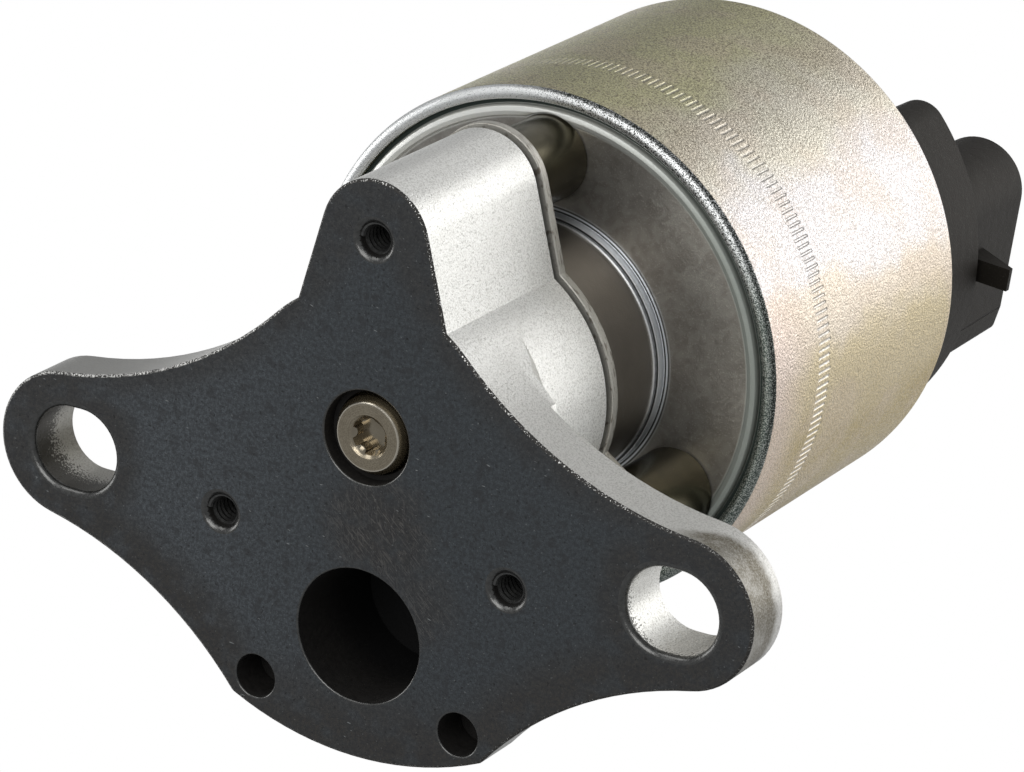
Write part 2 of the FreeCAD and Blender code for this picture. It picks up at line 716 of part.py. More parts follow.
def cap_block(inset, bottom, top):
    """Fan that widens from the round hub to the connector, drawn in from its walls by the
    inset."""
    radius = cap_radius - inset
    offset = CAP_SIDE_OFFSET - inset
    reach = math.sqrt(radius ** 2 - offset ** 2)
    corner = polar(Vector(0, 0, 0), reach, CAP_SIDE_ANGLE)
    corner += polar(Vector(0, 0, 0), offset, CAP_SIDE_ANGLE + 90)
    tip = Vector(-offset / math.sin(math.radians(CAP_SIDE_ANGLE)), 0, 0)
    half_angle = bearing(Vector(0, 0, 0), corner)
    below = Vector(corner.x, -corner.y, 0)
    edges = [arc(Vector(0, 0, 0), radius, -half_angle, half_angle)]
    edges += [line(corner, tip), line(tip, below)]
    fan = prism(Part.Face(Part.Wire(edges)), bottom, top)
    return fused([fan, rod(CAP_HUB_RADIUS - inset, bottom, top)])


def upright_edges(solid, reach):
    """Edges parallel to the valve axis that lie further out than the reach."""
    chosen = []
    for edge in solid.Edges:
        box = edge.BoundBox
        if box.XLength + box.YLength < 0.001 and math.hypot(box.XMin, box.YMin) > reach:
            chosen.append(edge)
    return chosen


def tower_outline(inset):
    """Keyed connector shape: one end round, the other squared off past a slight bend."""
    half = TOWER_HALF_WIDTH - inset
    round_centre = Vector(tower_reach, TOWER_HALF_WIDTH - TOWER_ROUND_END, 0)
    square = TOWER_SQUARE_END - inset
    narrow = half - TOWER_BEND_SETBACK
    points = [Vector(tower_reach + half, round_centre.y, 0),
              Vector(tower_reach + half, TOWER_BEND, 0),
              Vector(tower_reach + narrow, square, 0),
              Vector(tower_reach - half, square, 0),
              Vector(tower_reach - half, round_centre.y, 0)]
    edges = [line(start, end) for start, end in zip(points, points[1:])]
    edges.append(arc(round_centre, half, -180, 0))
    return Part.Face(Part.Wire(edges))


def connector_tower():
    tower = prism(tower_outline(0), ceiling, tower_top)
    corners = [edge for edge in upright_edges(tower, 0) if edge.BoundBox.YMin > TOWER_BEND]
    return tower.makeFillet(TOWER_CORNER_RADIUS, corners)


def latch_ramp():
    """Wedge on the outer side of the tower that holds the plug."""
    wall = tower_reach + TOWER_HALF_WIDTH
    low = cap_top + LATCH_RISE
    corners = [Vector(wall - TOWER_WALL / 2, 0, low), Vector(wall + LATCH_REACH, 0, low),
               Vector(wall + LATCH_REACH, 0, low + LATCH_RISE),
               Vector(wall, 0, low + LATCH_HEIGHT),
               Vector(wall - TOWER_WALL / 2, 0, low + LATCH_HEIGHT)]
    face = Part.Face(Part.makePolygon(corners + corners[:1]))
    wedge = face.extrude(Vector(0, LATCH_WIDTH, 0))
    wedge.translate(Vector(0, LATCH_OFFSET - LATCH_WIDTH / 2, 0))
    return wedge


def terminal_rows():
    first = TERMINAL_CENTRE - (TERMINAL_COUNT - 1) / 2 * TERMINAL_PITCH
    return [first + index * TERMINAL_PITCH for index in range(TERMINAL_COUNT)]


def blade(y):
    """Upright part of a terminal, through the cap's roof and up into the socket."""
    half = TERMINAL_THICKNESS / 2
    return block(tower_reach - half, tower_reach + half, y - TERMINAL_WIDTH / 2,
                 y + TERMINAL_WIDTH / 2, strip_bottom, cap_top + TERMINAL_RISE)


def board_ribs():
    """Two grooved ribs under the roof that hold the edges of the sensor board."""
    middle = BOARD_DISTANCE + BOARD_THICKNESS / 2
    inner = BOARD_WIDTH / 2 - RIB_GRIP
    ribs = []
    for side in (-1, 1):
        near, far = sorted((side * inner, side * (inner + RIB_WIDTH)))
        ribs.append(block(middle - RIB_DEPTH / 2, middle + RIB_DEPTH / 2, near, far,
                          ceiling - RIB_LENGTH, ceiling))
    return ribs


def board_block(clearance, bottom):
    half = BOARD_WIDTH / 2 + clearance
    return block(BOARD_DISTANCE - clearance, BOARD_DISTANCE + BOARD_THICKNESS + clearance,
                 -half, half, bottom, ceiling)


def sensor_cap():
    outer = cap_block(0, cap_base, cap_top)
    outer = outer.makeFillet(CAP_CORNER_RADIUS, upright_edges(outer, cap_radius / 2))
    rim = [edge for edge in outer.Edges if edge.BoundBox.ZMin > cap_top - CAP_WALL / 2]
    outer = outer.makeChamfer(CAP_EDGE_BREAK, rim)
    seat = rod(shell_bore - CAP_FLANGE_CLEARANCE, cap_base, cap_flange_top)
    shell = fused([outer, seat, connector_tower(), latch_ramp()])
    shell = shell.cut(cap_block(CAP_WALL, cap_base, ceiling))
    boss = rod(GUIDE_BOSS_RADIUS, guide_bottom, ceiling)
    shell = fused([shell, boss] + board_ribs())
    cuts = [prism(tower_outline(TOWER_WALL), cap_top + TOWER_FLOOR, tower_top),
            rod(GUIDE_PIN_RADIUS + GUIDE_CLEARANCE, guide_bottom, ceiling + CAP_WALL / 2),
            board_block(RIB_CLEARANCE, ceiling - RIB_LENGTH)]
    cuts += [blade(y) for y in terminal_rows()]
    return on_cap(shell.cut(cuts))


def connector_terminals():
    """Blades with the strips that lead under the roof to the sensor board or a coil lead."""
    rows = terminal_rows()
    terminals = []
    for y in rows:
        outermost = y in (rows[0], rows[-1])
        start = lead_reach - LEAD_RADIUS if outermost else BOARD_DISTANCE + BOARD_THICKNESS
        strip = block(start, tower_reach, y - TERMINAL_WIDTH / 2, y + TERMINAL_WIDTH / 2,
                      strip_bottom, ceiling)
        terminals.append(on_cap(blade(y).fuse(strip).removeSplitter()))
    return terminals


# Position sensor

def sensor_plunger():
    return rod(PLUNGER_RADIUS, stem_top + PLUNGER_GAP, carrier_bottom)


def wiper_carrier():
    """Moulded carrier on the plunger, with the pin that slides in the cap's guide boss."""
    half_length = CARRIER_LENGTH / 2
    half_width = CARRIER_WIDTH / 2
    body = block(CARRIER_SHIFT - half_length, CARRIER_SHIFT + half_length, -half_width,
                 half_width, carrier_bottom, carrier_top)
    pin = rod(GUIDE_PIN_RADIUS, carrier_top, guide_bottom + GUIDE_PIN_OVERLAP)
    return on_cap(body.fuse(pin).removeSplitter())


def wiper_fingers():
    """Two sprung strips that lean from the carrier to the resistive track."""
    root = CARRIER_SHIFT + CARRIER_LENGTH / 2 - FINGER_WIDTH
    tip = BOARD_DISTANCE - FINGER_CLEARANCE
    bend = CARRIER_SHIFT + CARRIER_LENGTH / 2
    low = carrier_top
    corners = [Vector(root, 0, low), Vector(bend, 0, low), Vector(tip, 0, low + FINGER_RISE),
               Vector(tip - FINGER_THICKNESS, 0, low + FINGER_RISE),
               Vector(bend - FINGER_THICKNESS / 2, 0, low + FINGER_THICKNESS),
               Vector(root, 0, low + FINGER_THICKNESS)]
    face = Part.Face(Part.makePolygon(corners + corners[:1]))
    fingers = []
    for side in (-1, 1):
        finger = face.extrude(Vector(0, FINGER_WIDTH, 0))
        finger.translate(Vector(0, side * FINGER_SPACING / 2 - FINGER_WIDTH / 2, 0))
        fingers.append(on_cap(finger))
    return fingers


def sensor_board():
    return on_cap(board_block(0, washer_top + BOARD_FOOT_GAP))


def sensor_spring():
    return coil_spring(SENSOR_SPRING_RADIUS, SENSOR_WIRE_RADIUS, SENSOR_SPRING_TURNS, carrier_top,
                       ceiling)


NODES = {
    "base_casting": base_casting,
    "valve_seat": valve_seat,
    "pintle": pintle,
    "stem_bushing": stem_bushing,
    "stem_seal": stem_seal,
    "shield_plate": shield_plate,
    "standoffs": standoffs,
    "actuator_screws": lambda: around_screws(actuator_screw()),
    "mounting_plate": mounting_plate,
    "outer_shell": outer_shell,
    "lower_pole": lower_pole,
    "armature_sleeve": armature_sleeve,
    "armature": armature,
    "armature_nut": armature_nut,
    "coil_bobbin": coil_bobbin,
    "coil_winding": coil_winding,
    "coil_leads": coil_leads,
    "upper_pole": upper_pole,
    "return_spring": return_spring,
    "cap_gasket": cap_gasket,
    "sensor_cap": sensor_cap,
    "connector_terminals": connector_terminals,
    "sensor_plunger": sensor_plunger,
    "wiper_carrier": wiper_carrier,
    "wiper_fingers": wiper_fingers,
    "sensor_board": sensor_board,
    "sensor_spring": sensor_spring,
}

for node, make in NODES.items():
    made = make()
    shape = Part.makeCompound(made) if isinstance(made, list) else made
    shape.translate(Vector(0, AXIS_OFFSET, 0))
    shape.exportStep("parts/" + node + ".step")
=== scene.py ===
import json
import math
import bmesh
import bpy
from mathutils import Matrix, Vector


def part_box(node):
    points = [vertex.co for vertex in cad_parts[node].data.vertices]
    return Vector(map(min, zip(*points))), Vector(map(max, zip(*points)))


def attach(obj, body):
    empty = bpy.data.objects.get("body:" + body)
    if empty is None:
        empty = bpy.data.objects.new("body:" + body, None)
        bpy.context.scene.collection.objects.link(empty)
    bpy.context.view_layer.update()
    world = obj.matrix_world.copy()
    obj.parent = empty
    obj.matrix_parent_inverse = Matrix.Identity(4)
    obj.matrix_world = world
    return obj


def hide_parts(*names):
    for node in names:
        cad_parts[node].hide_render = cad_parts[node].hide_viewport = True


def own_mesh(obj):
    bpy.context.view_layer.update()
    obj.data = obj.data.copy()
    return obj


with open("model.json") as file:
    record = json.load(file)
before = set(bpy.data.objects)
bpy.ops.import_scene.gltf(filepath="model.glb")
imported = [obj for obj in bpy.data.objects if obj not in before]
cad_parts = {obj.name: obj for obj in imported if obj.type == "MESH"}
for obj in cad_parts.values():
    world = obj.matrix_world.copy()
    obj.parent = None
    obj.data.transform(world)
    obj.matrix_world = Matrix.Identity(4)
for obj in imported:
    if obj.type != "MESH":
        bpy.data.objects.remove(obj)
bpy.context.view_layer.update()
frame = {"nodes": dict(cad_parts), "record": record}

MM = 0.001

# The valve axis is upright and stands this far from the frame's origin, in millimetres.
AXIS_Y = 10.5
AXIS = Vector((0.0, AXIS_Y * MM, 0.0))

# Camera of the photograph, in millimetres and as unit directions in the frame.
CAMERA_EYE = Vector((-263.74, 206.92, -431.72))
CAMERA_RIGHT = Vector((-0.85956, 0.04906, 0.50868))
CAMERA_UP = Vector((0.21876, 0.93490, 0.27949))
CAMERA_LENS = 178.2
CAMERA_SHIFT = (-0.00995, 0.00283)

# Gasket face and its holes, in millimetres and degrees. A rim is the radius that holds all of a
# hole's edge on the face.
FLANGE_BACK = 7.6
PORT_CENTRE = (0.0, -12.6)
PORT_RADIUS = 7.75
PORT_RIM = 9.0
PORT_DEPTH = 15.0
BORE_RADIUS = 9.8
BORE_RIM = 6.5
BORE_DEPTH = 24.0
DOWEL_X = 13.05
DOWEL_Y = -20.8
DOWEL_RADIUS = 2.5
DOWEL_RIM = 2.9
SLOT_X = 38.0
SLOT_RADIUS = 4.8
SLOT_RIM = 6.6
TAP_RADIUS = 1.79
TAP_RIM = 3.2
TAP_MOUTH = 2.6
TAP_MOUTH_DEPTH = 1.0
TAP_PITCH_RADIUS = 22.4
TAP_ANGLES = (90.0, -35.5, 215.5)
THREAD_START = 0.7
THREAD_PITCH = 0.7
THREAD_DEPTH = 0.3
THREAD_LENGTH = 8.2

# Widths of rounded edges, in millimetres, and the angle from which an edge is shaded sharp
EDGE_ROUND = 0.30
HOLE_ROUND = 0.22
SLOT_ROUND = 0.75
CASTING_ROUND = 0.5
HARD_ANGLE = 50.0

# Centres of the concave sides of the flange outline, in millimetres
LOWER_SWEEP = (50.1, -51.2)
UPPER_SWEEP = (45.0, 55.2)

# Turned pieces, in millimetres about the valve axis
CAN_RADIUS = 30.2
CAN_FRONT = 36.0
CAN_REAR = 81.5
CAN_EDGE = 1.0
CAN_LIP = 1.6
CAN_REAR_LIP = 2.1
CAN_WALL = 1.2
CAN_LIP_WALL = 1.1
CAN_LIP_ROUND = 0.45
NECK_TOP = 35.0
ROOT_RADIUS = 16.5
BEAD_RADIUS = 26.3
GROOVE_RADIUS = 27.9
PINTLE_RECESS = 3.2
PINTLE_EDGE = 3.82
PINTLE_CHAMFER = 3.92

# Sensor cap: where its connector points, in degrees, and a crease beside it, in millimetres
CAP_CLOCKING = 186.0
CREASE = 7.4
CREASE_FOOT = 96.0

# Ring of roll marks on the can, in millimetres
MARK_HEIGHT = 48.3
MARK_LENGTH = 2.7
MARK_COUNT = 220


# Node graphs

class Graph:
    """Builds one procedural material, node by node."""

    def __init__(self, name):
        self.material = bpy.data.materials.new(name)
        self.material.use_nodes = True
        self.tree = self.material.node_tree
        self.tree.nodes.clear()
        self.output = self.tree.nodes.new("ShaderNodeOutputMaterial")
        self.shader = self.tree.nodes.new("ShaderNodeBsdfPrincipled")
        self.tree.links.new(self.shader.outputs[0], self.output.inputs[0])
        self.coordinates = self.tree.nodes.new("ShaderNodeTexCoord").outputs["Object"]

    def put(self, socket, value):
        if isinstance(value, bpy.types.NodeSocket):
            self.tree.links.new(value, socket)
        elif isinstance(value, (tuple, list)) and len(value) == 3 and socket.type == "RGBA":
            socket.default_value = (*value, 1.0)
        else:
            socket.default_value = value

    def set(self, **values):
        for name, value in values.items():
            self.put(self.shader.inputs[name.replace("_", " ")], value)

    def math(self, operation, first, second=0.0, clamp=False):
        node = self.tree.nodes.new("ShaderNodeMath")
        node.operation = operation
        node.use_clamp = clamp
        self.put(node.inputs[0], first)
        self.put(node.inputs[1], second)
        return node.outputs[0]

    def vector(self, operation, first, second=(0.0, 0.0, 0.0)):
        node = self.tree.nodes.new("ShaderNodeVectorMath")
        node.operation = operation
        self.put(node.inputs[0], first)
        self.put(node.inputs[1], second)
        return node.outputs["Value" if operation in ("LENGTH", "DOT_PRODUCT") else "Vector"]

    def part(self, axis, vector=None):
        node = self.tree.nodes.new("ShaderNodeSeparateXYZ")
        self.put(node.inputs[0], vector or self.coordinates)
        return node.outputs[axis]

    def noise(self, size, detail=2.0, stretch=(1.0, 1.0, 1.0), turn=0.0, distortion=0.0):
        """Noise from 0 to 1 whose grains are about size millimetres across, that many times as
        long along each axis of a frame turned about +Z."""
        place = self.tree.nodes.new("ShaderNodeMapping")
        place.vector_type = "TEXTURE"
        self.put(place.inputs["Vector"], self.coordinates)
        place.inputs["Rotation"].default_value = (0.0, 0.0, turn)
        place.inputs["Scale"].default_value = stretch
        node = self.tree.nodes.new("ShaderNodeTexNoise")
        self.put(node.inputs["Vector"], place.outputs[0])
        node.inputs["Scale"].default_value = 1.0 / (size * MM)
        node.inputs["Detail"].default_value = detail
        node.inputs["Distortion"].default_value = distortion
        return node.outputs["Fac"]

    def span(self, value, low, high, start=0.0, end=1.0):
        """Maps low..high to start..end with smooth ends."""
        node = self.tree.nodes.new("ShaderNodeMapRange")
        node.interpolation_type = "SMOOTHSTEP"
        for index, number in enumerate((low, high, start, end)):
            node.inputs[index + 1].default_value = number
        self.put(node.inputs[0], value)
        return node.outputs[0]

    def mix(self, factor, first, second):
        node = self.tree.nodes.new("ShaderNodeMix")
        node.data_type = "RGBA"
        self.put(node.inputs[0], factor)
        self.put(node.inputs[6], first)
        self.put(node.inputs[7], second)
        return node.outputs[2]

    def blend(self, factor, first, second):
        """Mixes two numbers."""
        node = self.tree.nodes.new("ShaderNodeMix")
        self.put(node.inputs[0], factor)
        self.put(node.inputs[2], first)
        self.put(node.inputs[3], second)
        return node.outputs[0]

    def bump(self, height, depth, normal=None):
        """Relief of that depth in millimetres."""
        node = self.tree.nodes.new("ShaderNodeBump")
        node.inputs["Distance"].default_value = depth * MM
        self.put(node.inputs["Height"], height)
        if normal is not None:
            self.put(node.inputs["Normal"], normal)
        return node.outputs[0]

    def millimetres(self, axis):
        return self.math("MULTIPLY", self.part(axis), 1.0 / MM)

    def mirrored(self, x, y):
        """Distance in millimetres from the nearer of two upright lines, at x and at -x."""
        across = self.math("SUBTRACT", self.math("ABSOLUTE", self.millimetres(0)), x)
        along = self.math("SUBTRACT", self.millimetres(1), y)
        square = self.math("ADD", self.math("MULTIPLY", across, across),
                           self.math("MULTIPLY", along, along))
        return self.math("SQRT", square)

    def swing(self, size, reach, detail=2.0):
        """Noise that swings up to about reach either way."""
        return self.math("MULTIPLY", self.math("SUBTRACT", self.noise(size, detail), 0.5),
                         2 * reach)

    def distance(self, x, y):
        """Distance in millimetres from an upright line through that place."""
        flat = self.vector("MULTIPLY", self.coordinates, (1.0, 1.0, 0.0))
        away = self.vector("SUBTRACT", flat, (x * MM, y * MM, 0.0))
        return self.math("MULTIPLY", self.vector("LENGTH", away), 1.0 / MM)

    def radius(self):
        """Distance in millimetres from the valve axis."""
        return self.distance(0.0, AXIS_Y)

    def turn(self):
        """Angle about the valve axis, in turns from 0 to 1."""
        y = self.math("SUBTRACT", self.part(1), AXIS.y)
        angle = self.math("ARCTAN2", y, self.part(0))
        return self.math("FRACT", self.math("DIVIDE", angle, 2 * math.pi))


# Materials

def cast_metal():
    """Shot-blasted casting with a fine satin grain, with painted shade darkening the side walls of
    the flange, most towards +X, with a brown stain at one ear and soot in the slots."""
    g = Graph("cast_metal")
    grain = g.noise(0.20, 3.0)
    pits = g.span(g.noise(0.40, 2.0), 0.30, 0.40)
    cloud = g.noise(7.0, 3.0)
    tint = g.mix(cloud, (0.90, 0.89, 0.845), (0.98, 0.975, 0.94))
    speckled = g.mix(g.span(grain, 0.30, 0.62), (0.64, 0.63, 0.59), tint)
    # Painted shade: the side walls of the flange are painted darker, and darker still towards +X.
    shaded_wall = g.span(g.millimetres(2), FLANGE_BACK - 0.2, FLANGE_BACK - 0.9)
    shaded_wall = g.math("MULTIPLY", shaded_wall, g.span(g.millimetres(0), -10.0, 24.0, 0.70, 1.0))
    shaded_wall = g.math("MULTIPLY", shaded_wall, g.span(g.millimetres(1), 24.0, 14.0))
    wall_shade = g.mix(g.span(grain, 0.30, 0.58), (0.42, 0.41, 0.385), (0.56, 0.55, 0.52))
    wall_shade = g.mix(g.span(g.millimetres(0), 18.0, 34.0, 0.0, 0.5), wall_shade, (0.34, 0.335, 0.315))
    speckled = g.mix(g.math("SUBTRACT", shaded_wall, slot_wall(g), clamp=True), speckled, wall_shade)
    stained = g.mix(stained_ear(g), speckled, (0.105, 0.086, 0.048))
    g.set(Base_Color=g.mix(sooty_slots(g, grain), stained, (0.022, 0.019, 0.015)))
    g.set(Metallic=0.75, Roughness=g.blend(grain, 0.34, 0.52))
    relief = g.math("ADD", g.math("MULTIPLY", grain, 0.6), g.math("MULTIPLY", pits, 0.5))
    g.set(Normal=g.bump(relief, 0.032))
    return g.material


def stained_ear(g):
    """Brown heat stain in a band round the end of the ear at -X, darkest along its upper edge,
    and a faint one in the slots."""
    reach = g.math("MULTIPLY", g.millimetres(0), -1.0)
    level = g.math("ADD", g.millimetres(2), g.swing(1.8, 1.0, 5.0))
    flecks = g.span(g.noise(0.22, 3.0), 0.30, 0.66)
    smear = g.span(g.noise(2.2, 6.0), 0.34, 0.62)
    over = g.math("SUBTRACT", level, g.span(reach, 36.0, 44.5, 1.0, 5.0))
    band = g.math("MULTIPLY", g.span(over, 0.9, -0.7), g.span(reach, 36.5, 41.0))
    band = g.math("MULTIPLY", band, g.span(g.mirrored(SLOT_X - 1.5, 0.5), 6.0, 8.0))
    border = g.span(g.math("ABSOLUTE", g.math("ADD", over, 1.1)), 2.2, 0.5, 0.0, 0.93)
    tone = g.math("MAXIMUM", g.blend(smear, 0.62, 0.90), border)
    band = g.math("MULTIPLY", g.math("MULTIPLY", band, tone), g.blend(flecks, 0.70, 1.0))
    faint = g.math("MULTIPLY", slot_wall(g), g.span(g.millimetres(0), -20.0, 20.0, 0.08, 0.55))
    return g.math("MAXIMUM", band, faint, clamp=True)


def sooty_slots(g, grain):
    """Soot on the walls of the slots, deeper in one of them, that breaks up into specks."""
    depth = g.span(g.millimetres(0), -20.0, 20.0, 0.6, 4.0)
    level = g.math("ADD", g.millimetres(2), g.swing(2.0, 1.2, 3.0))
    level = g.math("ADD", level, g.math("MULTIPLY", g.math("SUBTRACT", grain, 0.5), 9.0))
    return g.math("MULTIPLY", slot_wall(g),
                  g.span(g.math("SUBTRACT", level, depth), 0.5, -0.5, 0.0, 0.85))


def slot_wall(g):
    """1 in and just round the bolt slots, 0 elsewhere."""
    return g.span(g.mirrored(SLOT_X, 0.0), SLOT_RADIUS + 1.6, SLOT_RADIUS + 0.9)


def gasket_coat():
    """Dark blued coat of the gasket face: painted light makes it lighter towards the ear at +X;
    brown in a band inside its outline, scratched between the two ports, smudged, with fine dark
    and light specks."""
    g = Graph("gasket_coat")
    mottle = g.noise(3.0, 5.0)
    medium = g.noise(0.42, 4.0)
    fine = g.noise(0.15, 3.0)
    rim = g.math("MAXIMUM", g.span(g.mirrored(*LOWER_SWEEP), 52.0, 46.5),
                 g.span(g.mirrored(*UPPER_SWEEP), 51.0, 47.5, 0.0, 0.7))
    rim = g.math("MAXIMUM", rim, g.span(g.mirrored(SLOT_X + 1.2, 0.2), 12.0, 8.0, 0.0, 0.9))
    brown = g.math("MAXIMUM", rim, g.span(g.millimetres(1), -15.0, -24.0))
    # The coat is rubbed brown just below the pintle.
    rubbed = g.math("MAXIMUM", g.span(g.distance(-2.0, 0.5), 9.0, 3.0),
                    g.span(g.distance(-7.0, -7.0), 7.0, 2.0, 0.0, 0.7))
    brown = g.math("MAXIMUM", brown, g.math("MULTIPLY", rubbed, 0.9))
    # Painted light: the blue coat is painted lighter towards +X.
    painted_light_blue = g.mix(g.span(g.millimetres(0), -8.0, 30.0), (0.054, 0.064, 0.071),
                 (0.090, 0.102, 0.112))
    coat = g.mix(g.math("MULTIPLY", brown, g.span(mottle, 0.28, 0.55, 0.35, 1.0)), painted_light_blue,
                 (0.046, 0.0415, 0.036))
    coat = g.mix(g.span(medium, 0.36, 0.64, 0.0, 0.58), coat, (0.018, 0.020, 0.022))
    coat = g.mix(g.span(fine, 0.38, 0.62, 0.0, 0.50), coat, (0.014, 0.016, 0.018))
    coat = g.mix(g.span(g.noise(0.55, 3.0), 0.63, 0.70, 0.0, 0.80), coat, (0.008, 0.008, 0.008))
    smudge = g.span(g.noise(1.7, 5.0), 0.54, 0.66, 0.0, 0.45)
    worn = g.math("MULTIPLY", rubbed, g.span(g.noise(0.8, 5.0), 0.44, 0.60, 0.0, 0.75))
    coat = g.mix(g.math("MAXIMUM", smudge, worn), coat, (0.020, 0.020, 0.021))
    streaks = g.span(g.noise(0.16, 3.0, (1.0, 6.0, 1.0), turn=0.12), 0.50, 0.68, 0.0, 0.45)
    coat = g.mix(streaks, coat, (0.022, 0.024, 0.026))
    brushed = g.noise(0.20, 4.0, (1.0, 8.0, 1.0), turn=-0.80, distortion=0.6)
    crossed = g.noise(0.22, 4.0, (1.0, 7.0, 1.0), turn=-0.15, distortion=0.8)
    scratch = g.math("MAXIMUM", g.span(brushed, 0.54, 0.66), g.span(crossed, 0.56, 0.66, 0.0, 0.8))
    scratch = g.math("MULTIPLY", g.math("MULTIPLY", scratch, rubbed), g.span(mottle, 0.34, 0.54))
    coat = g.mix(g.math("MULTIPLY", scratch, 0.55), coat, (0.125, 0.118, 0.108))
    nicks = g.span(g.noise(0.34, 1.0, (1.0, 4.0, 1.0), turn=-1.4), 0.76, 0.80)
    specks = g.span(g.noise(0.34, 2.0), 0.68, 0.74)
    coat = g.mix(g.math("MAXIMUM", nicks, g.math("MULTIPLY", specks, 0.45)), coat,
                 (0.20, 0.21, 0.21))
    g.set(Base_Color=coat, Metallic=0.15, Roughness=g.blend(fine, 0.46, 0.62))
    relief = g.math("ADD", g.math("MULTIPLY", g.noise(1.2, 3.0), 1.6), medium)
    g.set(Normal=g.bump(g.math("SUBTRACT", relief, scratch), 0.040))
    return g.material


def chipped_edge():
    """Edge of the gasket face, where the coat has chipped off to bare metal; the bright bare metal
    is painted mostly on edges facing +Y and -X, as a painted highlight.
    """
    g = Graph("chipped_edge")
    worn = g.span(g.noise(1.8, 3.0), 0.30, 0.58)
    thinner = g.span(g.millimetres(0), 6.0, 20.0, 0.0, 0.10)
    chips = g.span(g.math("ADD", g.noise(0.18, 3.0), thinner), 0.57, 0.64)
    bare = g.math("MULTIPLY", chips, g.blend(worn, 0.30, 1.0))
    bare = g.math("MULTIPLY", bare, g.span(g.millimetres(0), -28.0, -42.0, 1.0, 0.35))
    # Painted highlight: bright bare metal is kept mostly to edges that face +Y and -X.
    facing = g.tree.nodes.new("ShaderNodeNewGeometry").outputs["Normal"]
    upper = g.vector("DOT_PRODUCT", facing, (-0.55, 0.84, 0.0))
    bare = g.math("MULTIPLY", bare, g.span(upper, -0.2, 0.4, 0.25, 1.0))
    g.set(Base_Color=g.mix(bare, (0.030, 0.028, 0.025), (0.97, 0.96, 0.92)))
    g.set(Metallic=g.blend(bare, 0.2, 0.5), Roughness=g.blend(bare, 0.6, 0.32))
    g.set(Normal=g.bump(g.noise(0.18, 3.0), 0.05))
    return g.material


def hole_rim():
    """Broken edge of a hole: smooth worn metal that catches the light on one side."""
    g = Graph("hole_rim")
    fine = g.noise(0.5, 3.0)
    g.set(Base_Color=g.mix(fine, (0.05, 0.05, 0.048), (0.17, 0.17, 0.165)))
    g.set(Metallic=0.85, Roughness=g.blend(fine, 0.22, 0.34), Normal=g.bump(fine, 0.03))
    return g.material


def soot():
    """Matt black of the gas passages and the holes, partly soot and partly painted shade,
    darker deeper in.
    """
    g = Graph("soot")
    dust = g.noise(0.6, 4.0)
    black = g.mix(dust, (0.007, 0.0065, 0.006), (0.022, 0.020, 0.018))
    # Painted shade: darker deeper than 4 mm into the holes.
    g.set(Base_Color=g.mix(g.span(g.millimetres(2), 4.0, 11.0), black, (0.004, 0.004, 0.004)))
    g.shader.inputs["Specular IOR Level"].default_value = 0.25
    g.set(Roughness=g.blend(dust, 0.55, 0.85), Normal=g.bump(dust, 0.05))
    return g.material


def thread_metal():
    """Worn dark metal of the screw threads."""
    g = Graph("thread_metal")
    wear = g.noise(0.4, 2.0)
    g.set(Base_Color=g.mix(wear, (0.04, 0.04, 0.04), (0.13, 0.13, 0.125)))
    g.set(Metallic=0.8, Roughness=g.blend(wear, 0.3, 0.5), Normal=g.bump(wear, 0.02))
    return g.material


def turned_steel(name, dark, light, roughness, grain=0.02):
    """Steel with fine lathe rings about the valve axis."""
    g = Graph(name)
    out = g.radius()
    rings = g.math("SINE", g.math("MULTIPLY", out, 40.0))
    cloud = g.noise(2.5, 4.0)
    spots = g.noise(0.3, 2.0)
    g.set(Base_Color=g.mix(cloud, dark, light), Metallic=0.95)
    g.set(Roughness=g.blend(spots, roughness - 0.07, roughness + 0.07))
    relief = g.math("ADD", g.math("MULTIPLY", rings, 0.25), spots)
    g.set(Normal=g.bump(relief, grain))
    return g.material


def plate_edge_steel():
    """Sheared plate: grey-brown satin steel with thin dark streaks along its edge."""
    g = Graph("plate_edge_steel")
    streaks = g.noise(0.20, 3.0, (7.0, 7.0, 1.0))
    fine = g.noise(0.18, 3.0)
    steel = g.mix(fine, (0.44, 0.42, 0.37), (0.66, 0.64, 0.58))
    g.set(Base_Color=g.mix(g.span(streaks, 0.54, 0.66, 0.0, 0.8), steel, (0.17, 0.14, 0.105)))
    g.set(Metallic=0.75, Roughness=g.blend(fine, 0.38, 0.54))
    g.set(Normal=g.bump(g.math("ADD", streaks, fine), 0.04))
    return g.material


